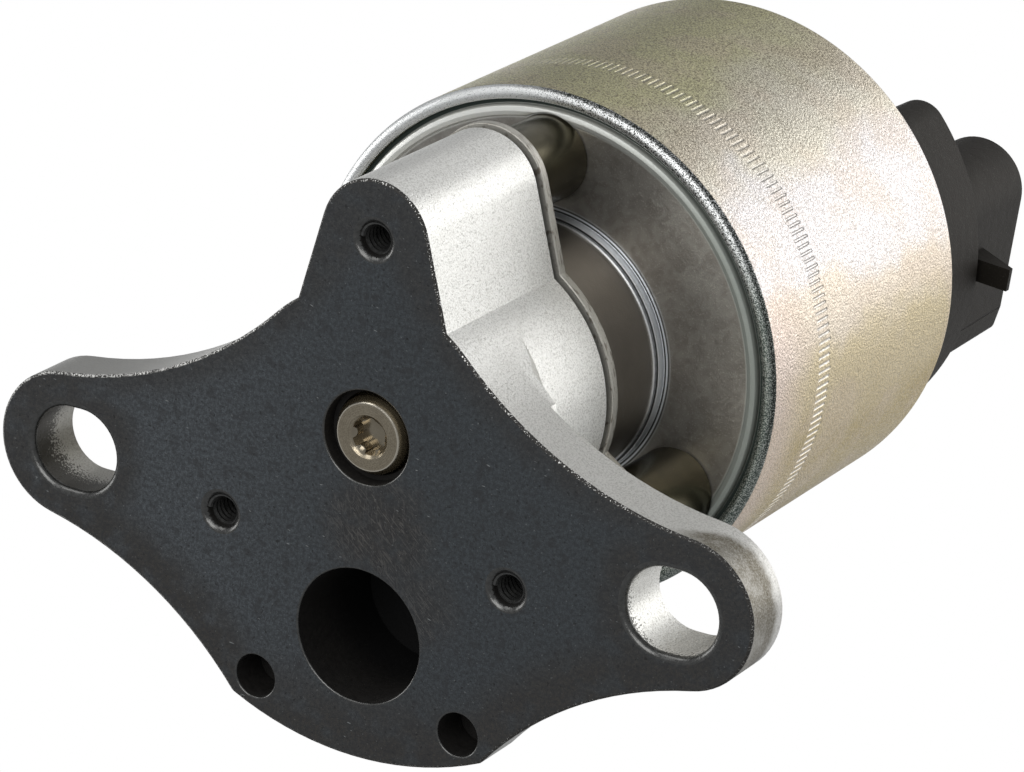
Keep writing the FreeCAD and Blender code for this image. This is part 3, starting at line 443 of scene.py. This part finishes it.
def plated_can():
    """Chromated plating whose colour drifts from olive over rose to gold round the can, partly
    its own tint and partly painted light: silver where the highlight falls and darker brass past
    it, with fewer dark flecks in the highlight; with a sparkling grain and the ring of roll
    marks, painted bright past the highlight."""
    g = Graph("plated_can")
    turn = g.turn()
    grain = g.noise(0.20, 3.0)
    sparkle = g.span(g.noise(0.28, 2.0), 0.38, 0.68)
    tint_and_light_turn = g.math("ADD", turn, g.math("MULTIPLY", g.math("SUBTRACT", g.noise(12.0, 3.0), 0.5),
                                       0.10))
    olive = (0.60, 0.57, 0.335)
    beige = (0.73, 0.685, 0.575)
    silver = (0.74, 0.705, 0.695)
    rose = (0.74, 0.645, 0.53)
    gold = (0.68, 0.57, 0.36)
    brass = (0.52, 0.41, 0.19)
    # Partly the plating's own tint, partly painted light: silver where the highlight falls, darker
    # gold and brass past it.
    tint = g.mix(g.span(tint_and_light_turn, 0.28, 0.35), olive, beige)
    tint = g.mix(g.span(tint_and_light_turn, 0.36, 0.39), tint, silver)
    tint = g.mix(g.span(tint_and_light_turn, 0.44, 0.47), tint, rose)
    tint = g.mix(g.span(tint_and_light_turn, 0.475, 0.505), tint, gold)
    tint = g.mix(g.span(tint_and_light_turn, 0.515, 0.56), tint, brass)
    tint = g.mix(g.span(turn, 0.80, 0.95), tint, olive)
    blush = g.math("MULTIPLY", g.span(g.millimetres(2), CAN_FRONT + 10.0, CAN_FRONT + 2.0),
                   g.span(turn, 0.42, 0.46, 0.0, 0.6))
    tint = g.mix(blush, tint, (0.74, 0.60, 0.55))
    tint = g.mix(g.span(g.noise(8.0, 4.0), 0.46, 0.62, 0.0, 0.35), tint, (0.66, 0.54, 0.43))
    # Painted light: dark flecks are fainter where the highlight falls.
    dark = g.mix(g.span(tint_and_light_turn, 0.32, 0.38, 0.80, 0.45), tint, (0.20, 0.165, 0.115))
    fleck = g.mix(g.span(grain, 0.40, 0.54), dark, tint)
    marks = roll_marks(g, turn)
    # Painted highlight: the roll marks are painted near white past the highlight.
    painted_mark_glint = g.math("MULTIPLY", marks, g.span(turn, 0.42, 0.50, 0.25, 0.8))
    g.set(Base_Color=g.mix(painted_mark_glint, fleck, (0.95, 0.92, 0.86)))
    g.set(Metallic=0.95, Roughness=g.blend(sparkle, 0.30, 0.46))
    relief = g.math("ADD", g.math("MULTIPLY", grain, 0.6), g.math("MULTIPLY", sparkle, 0.4))
    surface = g.bump(relief, 0.072)
    g.set(Normal=g.bump(marks, -0.15, surface))
    return g.material


def roll_marks(g, turn):
    """Ring of short pressed strokes along the can, 1 at the bottom of a stroke."""
    along = g.math("SUBTRACT", g.millimetres(2), MARK_HEIGHT)
    phase = g.math("FRACT", g.math("MULTIPLY", turn, MARK_COUNT))
    stroke = g.span(g.math("ABSOLUTE", g.math("SUBTRACT", phase, 0.5)), 0.28, 0.06)
    uneven = g.math("MULTIPLY", g.math("SUBTRACT", g.noise(1.2, 2.0), 0.5), 0.9)
    reach = g.math("ADD", g.math("ABSOLUTE", along), uneven)
    band = g.span(reach, MARK_LENGTH * 0.56, MARK_LENGTH * 0.42)
    return g.math("MULTIPLY", stroke, band)


def crimped_lip():
    """Rolled front lip of the can: silver and smooth above, greenish black and flaky below, the
    greenish tone its own and the black painted shade.
    """
    g = Graph("crimped_lip")
    turn = g.turn()
    chips = g.noise(0.14, 4.0)
    # Painted shade: the lower side of the lip is painted greenish black over its own greenish
    # tone.
    shaded_lower_side = g.math("MULTIPLY", g.span(turn, 0.38, 0.46), g.span(turn, 0.99, 0.92))
    flaky = g.math("MULTIPLY", g.span(turn, 0.22, 0.28), g.span(chips, 0.50, 0.42))
    silver = g.mix(g.span(chips, 0.30, 0.46), (0.40, 0.41, 0.40), (0.86, 0.87, 0.86))
    silver = g.mix(flaky, silver, (0.05, 0.055, 0.05))
    green = g.mix(g.span(chips, 0.44, 0.62), (0.09, 0.115, 0.10), (0.60, 0.63, 0.58))
    seam = g.span(g.radius(), CAN_RADIUS - 0.45, CAN_RADIUS - 0.15)
    seam = g.math("MULTIPLY", seam, g.span(chips, 0.62, 0.50, 0.2, 1.0))
    seam = g.math("MULTIPLY", seam, g.math("MULTIPLY", g.span(turn, 0.20, 0.27),
                                           g.span(turn, 0.56, 0.50)))
    g.set(Base_Color=g.mix(seam, g.mix(shaded_lower_side, silver, green), (0.03, 0.035, 0.03)))
    g.set(Metallic=0.9, Roughness=g.blend(chips, 0.48, 0.30))
    g.set(Normal=g.bump(g.noise(0.16, 3.0), 0.05))
    return g.material


def mount_plate_steel():
    """Drawn plate: brown-grey satin disc and neck; a bead painted pale as a painted highlight and
    darker round one side as painted shade; a groove painted green-black as painted shade; and a
    root painted with thin bright bluish and dark turned lines, painted highlights and shade."""
    g = Graph("mount_plate_steel")
    out = g.radius()
    height = g.millimetres(2)
    cloud = g.noise(6.0, 4.0)
    dust = g.noise(0.20, 3.0)
    smear = g.noise(1.8, 4.0, distortion=1.0)
    disc = g.mix(cloud, (0.27, 0.255, 0.23), (0.47, 0.45, 0.41))
    disc = g.mix(g.span(smear, 0.35, 0.70, 0.0, 0.5), disc, (0.21, 0.19, 0.165))
    disc = g.mix(g.span(dust, 0.55, 0.72, 0.0, 0.35), disc, (0.60, 0.57, 0.51))
    # Painted highlight and shade: the bead is painted pale, and darker, also rougher, where the
    # turn passes 0.2 to 0.42.
    bead = g.span(out, BEAD_RADIUS, BEAD_RADIUS + 0.4)
    bead_shade_and_dull = g.math("MULTIPLY", bead, g.span(g.turn(), 0.20, 0.42))
    disc = g.mix(bead, disc, (0.84, 0.845, 0.80))
    disc = g.mix(bead_shade_and_dull, disc, (0.36, 0.385, 0.35))
    # Painted shade: the groove is painted green-black.
    disc = g.mix(g.span(out, GROOVE_RADIUS, GROOVE_RADIUS + 0.25), disc, (0.030, 0.042, 0.036))
    # Painted highlights and shade: bright bluish and dark turned lines on the root.
    lines = g.span(g.math("SINE", g.math("MULTIPLY", out, 2 * math.pi / 0.42)), -0.5, 0.6)
    root = g.math("MULTIPLY", g.span(out, ROOT_RADIUS + 0.6, ROOT_RADIUS),
                  g.span(height, NECK_TOP, NECK_TOP + 0.4))
    disc = g.mix(root, disc, g.mix(lines, (0.07, 0.07, 0.07), (0.80, 0.82, 0.84)))
    neck = g.mix(cloud, (0.19, 0.17, 0.145), (0.30, 0.275, 0.24))
    disc = g.mix(g.span(height, NECK_TOP + 0.1, NECK_TOP - 0.2), disc, neck)
    g.set(Base_Color=disc, Metallic=g.blend(bead, 0.85, 0.6))
    g.set(Roughness=g.math("ADD", g.blend(dust, 0.32, 0.46), g.math("MULTIPLY", bead_shade_and_dull, 0.2)))
    g.set(Normal=g.bump(g.math("ADD", dust, g.math("MULTIPLY", smear, 1.5)), 0.02))
    return g.material


def dark_steel():
    """Oil-blackened standoffs with an olive sheen."""
    g = Graph("dark_steel")
    cloud = g.noise(3.5, 3.0)
    rub = g.noise(0.25, 3.0, (1.0, 1.0, 5.0))
    g.set(Base_Color=g.mix(cloud, (0.042, 0.036, 0.022), (0.130, 0.115, 0.070)))
    g.set(Metallic=0.9, Roughness=g.blend(rub, 0.20, 0.30), Normal=g.bump(rub, 0.012))
    return g.material


def moulded_plastic(name, dark, light, roughness=0.5, grain=0.03):
    """Moulded plastic with a fine spark-eroded grain."""
    g = Graph(name)
    texture = g.noise(0.20, 3.0)
    cloud = g.noise(7.0, 3.0)
    dust = g.span(g.noise(0.22, 2.0), 0.64, 0.74, 0.0, 0.10)
    g.set(Base_Color=g.mix(dust, g.mix(cloud, dark, light), (0.60, 0.57, 0.52)))
    g.set(Roughness=g.blend(texture, roughness - 0.08, roughness + 0.10))
    g.set(Normal=g.bump(texture, grain))
    return g.material


def wound_copper():
    """Enamelled copper, wound in fine level turns."""
    g = Graph("wound_copper")
    turns = g.math("ABSOLUTE", g.math("SINE", g.math("MULTIPLY", g.millimetres(2), math.pi / 0.5)))
    tone = g.noise(1.5, 3.0, (1.0, 1.0, 0.12))
    g.set(Base_Color=g.mix(tone, (0.42, 0.15, 0.05), (0.62, 0.26, 0.10)))
    g.set(Metallic=0.9, Roughness=0.32, Normal=g.bump(turns, 0.2))
    return g.material


def pintle_steel():
    """Heat-tinted end of the pintle: turned face with a painted highlight ring at its edge, a
    recess painted darker as painted shade, and a golden brown chamfer."""
    g = Graph("pintle_steel")
    out = g.radius()
    recess = g.math("MULTIPLY", g.span(g.millimetres(2), 0.45, 0.70),
                    g.span(out, PINTLE_RECESS + 0.1, PINTLE_RECESS))
    plain = g.math("SUBTRACT", 1.0, recess)
    rings = g.span(g.math("SINE", g.math("MULTIPLY", out, 26.0)), -1.0, 1.0)
    rings = g.math("MULTIPLY", rings, plain)
    dust = g.math("MULTIPLY", g.noise(0.18, 3.0), plain)
    cloud = g.noise(2.2, 3.0)
    face = g.mix(cloud, (0.37, 0.315, 0.225), (0.51, 0.45, 0.345))
    face = g.mix(g.math("MULTIPLY", rings, 0.20), face, (0.16, 0.13, 0.09))
    face = g.mix(g.span(dust, 0.40, 0.60, 0.0, 0.35), face, (0.18, 0.15, 0.11))
    # Painted shade: the recess is painted darker than the face.
    face = g.mix(recess, face, g.mix(cloud, (0.24, 0.20, 0.14), (0.46, 0.41, 0.32)))
    # Painted highlight: a bright ring painted round the edge of the face.
    lit = g.span(g.math("ABSOLUTE", g.math("SUBTRACT", out, PINTLE_EDGE)), 0.14, 0.05)
    face = g.mix(g.math("MULTIPLY", lit, 0.8), face, (0.80, 0.74, 0.62))
    chamfer = g.mix(cloud, (0.34, 0.265, 0.155), (0.56, 0.47, 0.31))
    border = g.span(out, PINTLE_CHAMFER, PINTLE_CHAMFER + 0.1)
    g.set(Base_Color=g.mix(border, face, chamfer), Metallic=0.95)
    g.set(Roughness=g.blend(dust, 0.18, 0.34))
    g.set(Normal=g.bump(g.math("ADD", g.math("MULTIPLY", rings, 0.3), dust), 0.012))
    return g.material


def cap_plastic():
    """Moulded cap: dark brown-grey with a fine grain, light dust and a crease up the connector
    that is painted near black as painted shade.
    """
    g = Graph("cap_plastic")
    texture = g.noise(0.20, 3.0)
    cloud = g.noise(6.0, 4.0)
    dust = g.span(g.noise(0.24, 2.0), 0.62, 0.74, 0.0, 0.05)
    base = g.mix(cloud, (0.0070, 0.0060, 0.0048), (0.0160, 0.0140, 0.0115))
    base = g.mix(dust, base, (0.60, 0.57, 0.52))
    turn = math.radians(CAP_CLOCKING)
    away = g.vector("SUBTRACT", g.coordinates, tuple(AXIS))
    outward = g.vector("DOT_PRODUCT", away, (math.cos(turn) / MM, math.sin(turn) / MM, 0.0))
    across = g.vector("DOT_PRODUCT", away, (-math.sin(turn) / MM, math.cos(turn) / MM, 0.0))
    # Painted shade: the crease is painted near black over its bump.
    crease = g.span(g.math("ABSOLUTE", g.math("SUBTRACT", across, CREASE)), 0.22, 0.06)
    crease = g.math("MULTIPLY", crease, g.span(outward, 20.0, 21.0))
    crease = g.math("MULTIPLY", crease, g.span(g.millimetres(2), CREASE_FOOT, CREASE_FOOT + 0.6))
    g.set(Base_Color=g.mix(crease, base, (0.002, 0.002, 0.002)))
    g.set(Roughness=g.blend(texture, 0.56, 0.70))
    g.shader.inputs["Specular IOR Level"].default_value = 0.28
    g.shader.inputs["Specular Tint"].default_value = (1.0, 0.90, 0.77, 1.0)
    rough = g.math("ADD", texture, g.math("MULTIPLY", g.noise(1.5, 3.0), 1.5))
    g.set(Normal=g.bump(crease, -0.35, g.bump(rough, 0.04)))
    return g.material


def make_materials():
    """Materials by slot or by finish."""
    return {
        "cast_iron": cast_metal(),
        "gasket_coat": gasket_coat(),
        "chipped_edge": chipped_edge(),
        "hole_rim": hole_rim(),
        "soot": soot(),
        "thread": thread_metal(),
        "seat_steel": turned_steel("seat_steel", (0.34, 0.32, 0.29), (0.50, 0.48, 0.45), 0.34),
        "stem_steel": pintle_steel(),
        "bronze": turned_steel("bronze", (0.40, 0.26, 0.11), (0.56, 0.38, 0.17), 0.38),
        "seal_black": moulded_plastic("seal_black", (0.012, 0.012, 0.012),
                                      (0.03, 0.03, 0.03), 0.6),
        "plate_steel": plate_edge_steel(),
        "dark_steel": dark_steel(),
        "drawn_steel": mount_plate_steel(),
        "plated_shell": plated_can(),
        "lip": crimped_lip(),
        "pole_steel": turned_steel("pole_steel", (0.36, 0.36, 0.37), (0.52, 0.52, 0.53), 0.30),
        "bobbin_plastic": moulded_plastic("bobbin_plastic", (0.02, 0.02, 0.02),
                                          (0.05, 0.05, 0.05)),
        "copper": wound_copper(),
        "brass_pin": turned_steel("brass_pin", (0.62, 0.50, 0.22), (0.80, 0.68, 0.36), 0.26),
        "spring_steel": turned_steel("spring_steel", (0.36, 0.36, 0.37),
                                     (0.60, 0.60, 0.60), 0.24),
        "cap_plastic": cap_plastic(),
        "board_ceramic": moulded_plastic("board_ceramic", (0.55, 0.56, 0.54),
                                         (0.72, 0.73, 0.70), 0.4),
    }


# Mesh pieces

def piece(name, mesh, body, materials, nodes=()):
    """Adds a piece of the object that rides on a body and stands for the CAD nodes."""
    thing = bpy.data.objects.new(name, mesh)
    bpy.context.scene.collection.objects.link(thing)
    for material in materials:
        mesh.materials.append(material)
    for polygon in mesh.polygons:
        polygon.use_smooth = True
    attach(thing, body)
    if nodes:
        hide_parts(*nodes)
    return thing


def even_shading(thing):
    """Keeps flat faces flat beside rounded edges."""
    weighted = thing.modifiers.new("even_shading", "WEIGHTED_NORMAL")
    weighted.keep_sharp = True
    return thing


def node_mesh(node):
    """The welded mesh of a CAD node, with its flat faces whole."""
    shape = bmesh.new()
    shape.from_mesh(frame["nodes"][node].data)
    bmesh.ops.remove_doubles(shape, verts=shape.verts, dist=0.002 * MM)
    bmesh.ops.dissolve_limit(shape, angle_limit=math.radians(0.5), verts=shape.verts,
                             edges=shape.edges)
    shape.normal_update()
    for face in shape.faces:
        face.material_index = 0
    return shape


def sharp_edges(shape, angle=28.0, keep=lambda edge: True):
    """Edges that turn by more than angle degrees and that keep allows."""
    limit = math.radians(angle)
    return [edge for edge in shape.edges
            if edge.is_manifold and edge.calc_face_angle(0.0) > limit and keep(edge)]


def round_edges(shape, edges, width, segments=2, material=-1):
    bmesh.ops.bevel(shape, geom=edges, offset=width * MM, offset_type="OFFSET",
                    segments=segments, profile=0.5, affect="EDGES", clamp_overlap=True,
                    material=material)


def mesh_of(name, shape):
    """Mesh of a bmesh, with the edges that stay sharp marked for shading."""
    shape.normal_update()
    for edge in sharp_edges(shape, HARD_ANGLE):
        edge.smooth = False
    mesh = bpy.data.meshes.new(name)
    shape.to_mesh(mesh)
    shape.free()
    return mesh


def softened(node, name, body, material, width, segments=2, angle=28.0):
    """A CAD node with rounded edges."""
    shape = node_mesh(node)
    round_edges(shape, sharp_edges(shape, angle), width, segments)
    return even_shading(piece(name, mesh_of(name, shape), body, [material], [node]))


def lathe(name, profile, steps=256, marks=()):
    """Mesh turned about the valve axis from a closed (radius, height) profile. A face takes
    material 1 where its stretch of the profile is one of the marks."""
    mesh = bpy.data.meshes.new(name)
    vertices = []
    for step in range(steps):
        angle = 2 * math.pi * step / steps
        for radius, height in profile:
            vertices.append((AXIS.x + radius * MM * math.cos(angle),
                             AXIS.y + radius * MM * math.sin(angle), height * MM))
    count = len(profile)
    faces = []
    for step in range(steps):
        here = step * count
        there = (step + 1) % steps * count
        for index in range(count):
            after = (index + 1) % count
            faces.append((here + index, there + index, there + after, here + after))
    mesh.from_pydata(vertices, [], faces)
    for index, polygon in enumerate(mesh.polygons):
        polygon.material_index = 1 if index % count in marks else 0
    return mesh


def quarter(centre, radius, start, end, steps=6):
    """Points of an arc in a turned profile, angles in degrees."""
    points = []
    for step in range(steps + 1):
        angle = math.radians(start + (end - start) * step / steps)
        points.append((centre[0] + radius * math.cos(angle),
                       centre[1] + radius * math.sin(angle)))
    return points


def tube(name, path, radius, sides=10):
    """Round wire along a path of points, with flat ends."""
    shape = bmesh.new()
    rings = []
    for index, point in enumerate(path):
        before = path[max(index - 1, 0)]
        after = path[min(index + 1, len(path) - 1)]
        ahead = (after - before).normalized()
        across = ahead.cross(Vector((0, 0, 1))).normalized()
        upward = across.cross(ahead)
        ring = []
        for side in range(sides):
            angle = 2 * math.pi * side / sides
            offset = across * math.cos(angle) + upward * math.sin(angle)
            ring.append(shape.verts.new(point + offset * radius))
        rings.append(ring)
    for first, second in zip(rings, rings[1:]):
        for side in range(sides):
            after = (side + 1) % sides
            shape.faces.new((first[side], first[after], second[after], second[side]))
    shape.faces.new(rings[0][::-1])
    shape.faces.new(rings[-1])
    bmesh.ops.recalc_face_normals(shape, faces=shape.faces)
    return mesh_of(name, shape)


# Base casting

def flat_distance(point, x, y):
    """Distance in millimetres of a point from an upright line."""
    return math.hypot(point.x / MM - x, point.y / MM - y)


def tap_places():
    """Centres of the tapped holes, in millimetres."""
    places = []
    for angle in TAP_ANGLES:
        turn = math.radians(angle)
        places.append((TAP_PITCH_RADIUS * math.cos(turn),
                       AXIS_Y + TAP_PITCH_RADIUS * math.sin(turn)))
    return places


def on_gasket_face(point):
    return point.z < 0.01 * MM


def in_hole(point):
    """Whether a point of the casting lies inside one of its dark holes or passages."""
    if on_gasket_face(point):
        return False
    holes = [(*PORT_CENTRE, PORT_RADIUS + 0.1, PORT_DEPTH), (0.0, AXIS_Y, BORE_RADIUS, BORE_DEPTH)]
    holes += [(side * DOWEL_X, DOWEL_Y, DOWEL_RADIUS + 0.1, FLANGE_BACK) for side in (-1, 1)]
    holes += [(x, y, TAP_RADIUS + 0.1, BORE_DEPTH) for x, y in tap_places()]
    return any(flat_distance(point, x, y) < radius and point.z < (depth + 0.05) * MM
               for x, y, radius, depth in holes)


def in_mouth(point):
    """Whether a point of the casting lies on the countersunk mouth of a tapped hole."""
    return point.z < TAP_MOUTH_DEPTH * MM and any(flat_distance(point, x, y) < TAP_MOUTH
                                                  for x, y in tap_places())


def near_slot(point):
    """Whether a point of the gasket face lies on the rim of a bolt slot."""
    return any(flat_distance(point, side * SLOT_X, 0.0) < SLOT_RIM for side in (-1, 1))


def near_round_hole(point):
    """Whether a point of the gasket face lies on the rim of any other hole."""
    holes = [(*PORT_CENTRE, PORT_RIM), (0.0, AXIS_Y, BORE_RIM)]
    holes += [(side * DOWEL_X, DOWEL_Y, DOWEL_RIM) for side in (-1, 1)]
    holes += [(x, y, TAP_RIM) for x, y in tap_places()]
    return any(flat_distance(point, x, y) < radius for x, y, radius in holes)


def edge_middle(edge):
    return (edge.verts[0].co + edge.verts[1].co) / 2


def face_edges(shape, keep):
    """Sharp edges on the gasket face whose middles pass a test."""
    return sharp_edges(shape, keep=lambda edge: all(on_gasket_face(vertex.co)
                                                    for vertex in edge.verts)
                       and keep(edge_middle(edge)))


def build_casting(materials):
    """Casting with rounded edges, coated on its gasket face, and near-black in its holes, partly
    soot and partly painted shade.
    """
    finishes = ["cast_iron", "gasket_coat", "chipped_edge", "soot", "hole_rim"]
    coat, chipped, sooty, worn = range(1, 5)
    shape = node_mesh("base_casting")
    for face in shape.faces:
        middle = face.calc_center_median()
        if face.normal.z < -0.99 and on_gasket_face(middle):
            face.material_index = coat
        # Faces in the holes take the near-black soot finish, partly painted shade.
        elif in_hole(middle):
            face.material_index = sooty
        elif in_mouth(middle):
            face.material_index = worn
    outline = face_edges(shape, lambda place: not near_slot(place) and not near_round_hole(place))
    round_edges(shape, outline, EDGE_ROUND, material=chipped)
    round_edges(shape, face_edges(shape, near_slot), SLOT_ROUND, 4, worn)
    holes = face_edges(shape, lambda place: near_round_hole(place) and not near_slot(place))
    round_edges(shape, holes, HOLE_ROUND, material=worn)
    above = sharp_edges(shape, 20.0, lambda edge: edge_middle(edge).z > 1.0 * MM
                        and not in_hole(edge_middle(edge)))
    round_edges(shape, above, CASTING_ROUND, 3)
    mesh = mesh_of("casting", shape)
    wanted = [materials[name] for name in finishes]
    even_shading(piece("casting", mesh, "housing", wanted, ["base_casting"]))


def build_threads(materials):
    """Screw thread in each tapped hole of the gasket face."""
    steps = 24
    turns = THREAD_LENGTH / THREAD_PITCH
    radius = TAP_RADIUS * MM
    for index, (x, y) in enumerate(tap_places()):
        path = []
        for step in range(int(turns * steps)):
            angle = 2 * math.pi * step / steps
            height = (THREAD_START + THREAD_PITCH * step / steps) * MM
            path.append(Vector((x * MM + radius * math.cos(angle),
                                y * MM + radius * math.sin(angle), height)))
        mesh = tube("thread_%d" % index, path, THREAD_DEPTH * MM, 6)
        piece("tap_thread_%d" % index, mesh, "housing", [materials["thread"]])


# Can and springs

def build_can(materials):
    """Can with rounded rims; its front rim has the finish of the crimped lip."""
    radius = CAN_RADIUS
    edge = CAN_EDGE
    inner = radius - CAN_WALL
    lip = radius - CAN_LIP
    rear_lip = radius - CAN_REAR_LIP
    profile = quarter((lip + CAN_LIP_ROUND, CAN_FRONT + 0.5), CAN_LIP_ROUND, 180, 270, 4)
    profile += quarter((radius - edge, CAN_FRONT + edge), edge, -90, 0, 8)
    outside = len(profile) - 1
    profile += quarter((radius - edge, CAN_REAR - edge), edge, 0, 90, 8)
    profile += [(rear_lip, CAN_REAR), (rear_lip, CAN_REAR - CAN_LIP_WALL),
                (inner, CAN_REAR - CAN_LIP_WALL), (inner, CAN_FRONT + CAN_LIP_WALL),
                (lip, CAN_FRONT + CAN_LIP_WALL)]
    mesh = lathe("can", profile, 320, range(outside - 1))
    wanted = [materials["plated_shell"], materials["lip"]]
    even_shading(piece("can", mesh, "housing", wanted, ["outer_shell"]))


def build_springs(materials):
    """Wound springs of round wire in place of the CAD springs."""
    for node, name, joint, wire, mean, turns in (
            ("return_spring", "valve_spring", "pintle_lift", 0.55, 5.4, 4),
            ("sensor_spring", "plunger_spring", "sensor_plunger_slide", 0.3, 3.9, 4)):
        low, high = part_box(node)
        bottom = low.z + wire * MM
        top = high.z - wire * MM
        path = []
        steps = turns * 32
        for step in range(steps + 1):
            angle = 2 * math.pi * turns * step / steps
            path.append(Vector((AXIS.x + mean * MM * math.cos(angle),
                                AXIS.y + mean * MM * math.sin(angle),
                                bottom + (top - bottom) * step / steps)))
        thing = piece(name, tube(name, path, wire * MM), "housing",
                      [materials["spring_steel"]], [node])
        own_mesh(thing)


def finish_nodes(materials):
    """Gives every CAD node that stays in view its finish."""
    for subpart in frame["record"]["subparts"]:
        node = frame["nodes"].get(subpart["node"])
        if node is None:
            continue
        # The valve seat deep in the bore takes the near-black soot finish, partly painted shade.
        finish = "soot" if subpart["node"] == "valve_seat" else subpart["material_slot"]
        node.data.materials.clear()
        node.data.materials.append(materials[finish])


# Studio

def build_camera():
    """Camera that sees the object as the photograph does."""
    camera = bpy.data.cameras.new("camera")
    camera.sensor_width = 36.0
    camera.lens = CAMERA_LENS
    camera.shift_x, camera.shift_y = CAMERA_SHIFT
    camera.clip_start = 0.01
    camera.clip_end = 20.0
    eye = bpy.data.objects.new("camera", camera)
    backward = CAMERA_RIGHT.cross(CAMERA_UP)
    turn = Matrix((CAMERA_RIGHT, CAMERA_UP, backward)).transposed()
    eye.matrix_world = Matrix.Translation(CAMERA_EYE * MM) @ turn.to_4x4()
    bpy.context.scene.collection.objects.link(eye)
    bpy.context.scene.camera = eye


def softbox(name, direction, distance, size, power, colour=(1.0, 1.0, 1.0)):
    """Square area light that faces the middle of the object."""
    middle = Vector((0.0, 10.0, 45.0)) * MM
    light = bpy.data.lights.new(name, "AREA")
    light.shape = "RECTANGLE"
    light.size, light.size_y = size
    light.energy = power
    light.color = colour
    lamp = bpy.data.objects.new(name, light)
    away = Vector(direction).normalized()
    lamp.location = middle + away * distance
    lamp.rotation_euler = away.to_track_quat("Z", "Y").to_euler()
    lamp.visible_camera = False
    bpy.context.scene.collection.objects.link(lamp)


def build_world():
    """White backdrop to the camera, and a softer grey room in the reflections."""
    world = bpy.data.worlds.new("studio")
    bpy.context.scene.world = world
    world.use_nodes = True
    tree = world.node_tree
    tree.nodes.clear()
    output = tree.nodes.new("ShaderNodeOutputWorld")
    switch = tree.nodes.new("ShaderNodeMixShader")
    path = tree.nodes.new("ShaderNodeLightPath")
    room = tree.nodes.new("ShaderNodeBackground")
    room.inputs[0].default_value = (0.95, 0.97, 1.0, 1.0)
    room.inputs[1].default_value = 0.33
    backdrop = tree.nodes.new("ShaderNodeBackground")
    backdrop.inputs[0].default_value = (1.0, 1.0, 1.0, 1.0)
    tree.links.new(path.outputs["Is Camera Ray"], switch.inputs[0])
    tree.links.new(room.outputs[0], switch.inputs[1])
    tree.links.new(backdrop.outputs[0], switch.inputs[2])
    tree.links.new(switch.outputs[0], output.inputs[0])


def build_floor():
    """Pale floor that shows from above only, so that it never hides the gasket face."""
    mesh = bpy.data.meshes.new("floor")
    half = 2.0
    drop = -0.3 * MM
    corners = [(-half, -half, drop), (half, -half, drop), (half, half, drop), (-half, half, drop)]
    mesh.from_pydata(corners, [], [(0, 1, 2, 3)])
    g = Graph("floor")
    g.set(Base_Color=(0.86, 0.86, 0.86), Roughness=0.9)
    facing = g.tree.nodes.new("ShaderNodeNewGeometry")
    clear = g.tree.nodes.new("ShaderNodeBsdfTransparent")
    either = g.tree.nodes.new("ShaderNodeMixShader")
    g.tree.links.new(facing.outputs["Backfacing"], either.inputs[0])
    g.tree.links.new(g.shader.outputs[0], either.inputs[1])
    g.tree.links.new(clear.outputs[0], either.inputs[2])
    g.tree.links.new(either.outputs[0], g.output.inputs[0])
    mesh.materials.append(g.material)
    floor = bpy.data.objects.new("floor", mesh)
    bpy.context.scene.collection.objects.link(floor)
    floor.visible_shadow = False
    floor.visible_diffuse = False
    floor.visible_glossy = False


def build_studio():
    bpy.context.scene.view_settings.view_transform = "Standard"
    build_world()
    build_floor()
    softbox("key", (-0.54, 0.22, 0.81), 0.7, (0.55, 0.75), 1.70)
    softbox("wide_fill", (-0.36, -0.10, 0.92), 1.3, (2.0, 1.6), 5.0)
    softbox("side_fill", (0.53, -0.30, 0.79), 1.0, (0.5, 0.5), 0.9)
    softbox("top_fill", (0.16, 0.58, 0.80), 1.0, (0.5, 0.5), 0.35)
    softbox("upper_strip", (0.50, 0.78, -0.35), 0.8, (0.35, 0.35), 0.8)
    softbox("left_strip", (0.96, 0.0, -0.22), 0.8, (0.35, 0.5), 1.6)
    softbox("front_fill", (-0.1, 0.5, -0.85), 0.9, (0.6, 0.6), 3.4)


materials = make_materials()
finish_nodes(materials)
build_casting(materials)
build_threads(materials)
build_can(materials)
build_springs(materials)
softened("pintle", "valve_pintle", "valve", materials["stem_steel"], 0.12)
softened("shield_plate", "shield", "housing", materials["plate_steel"], 0.15)
softened("standoffs", "standoff_posts", "housing", materials["dark_steel"], 0.25)
softened("mounting_plate", "mount_disc", "housing", materials["drawn_steel"], 0.12)
softened("sensor_cap", "cap_body", "housing", materials["cap_plastic"], 0.4, 3)
build_camera()
build_studio()
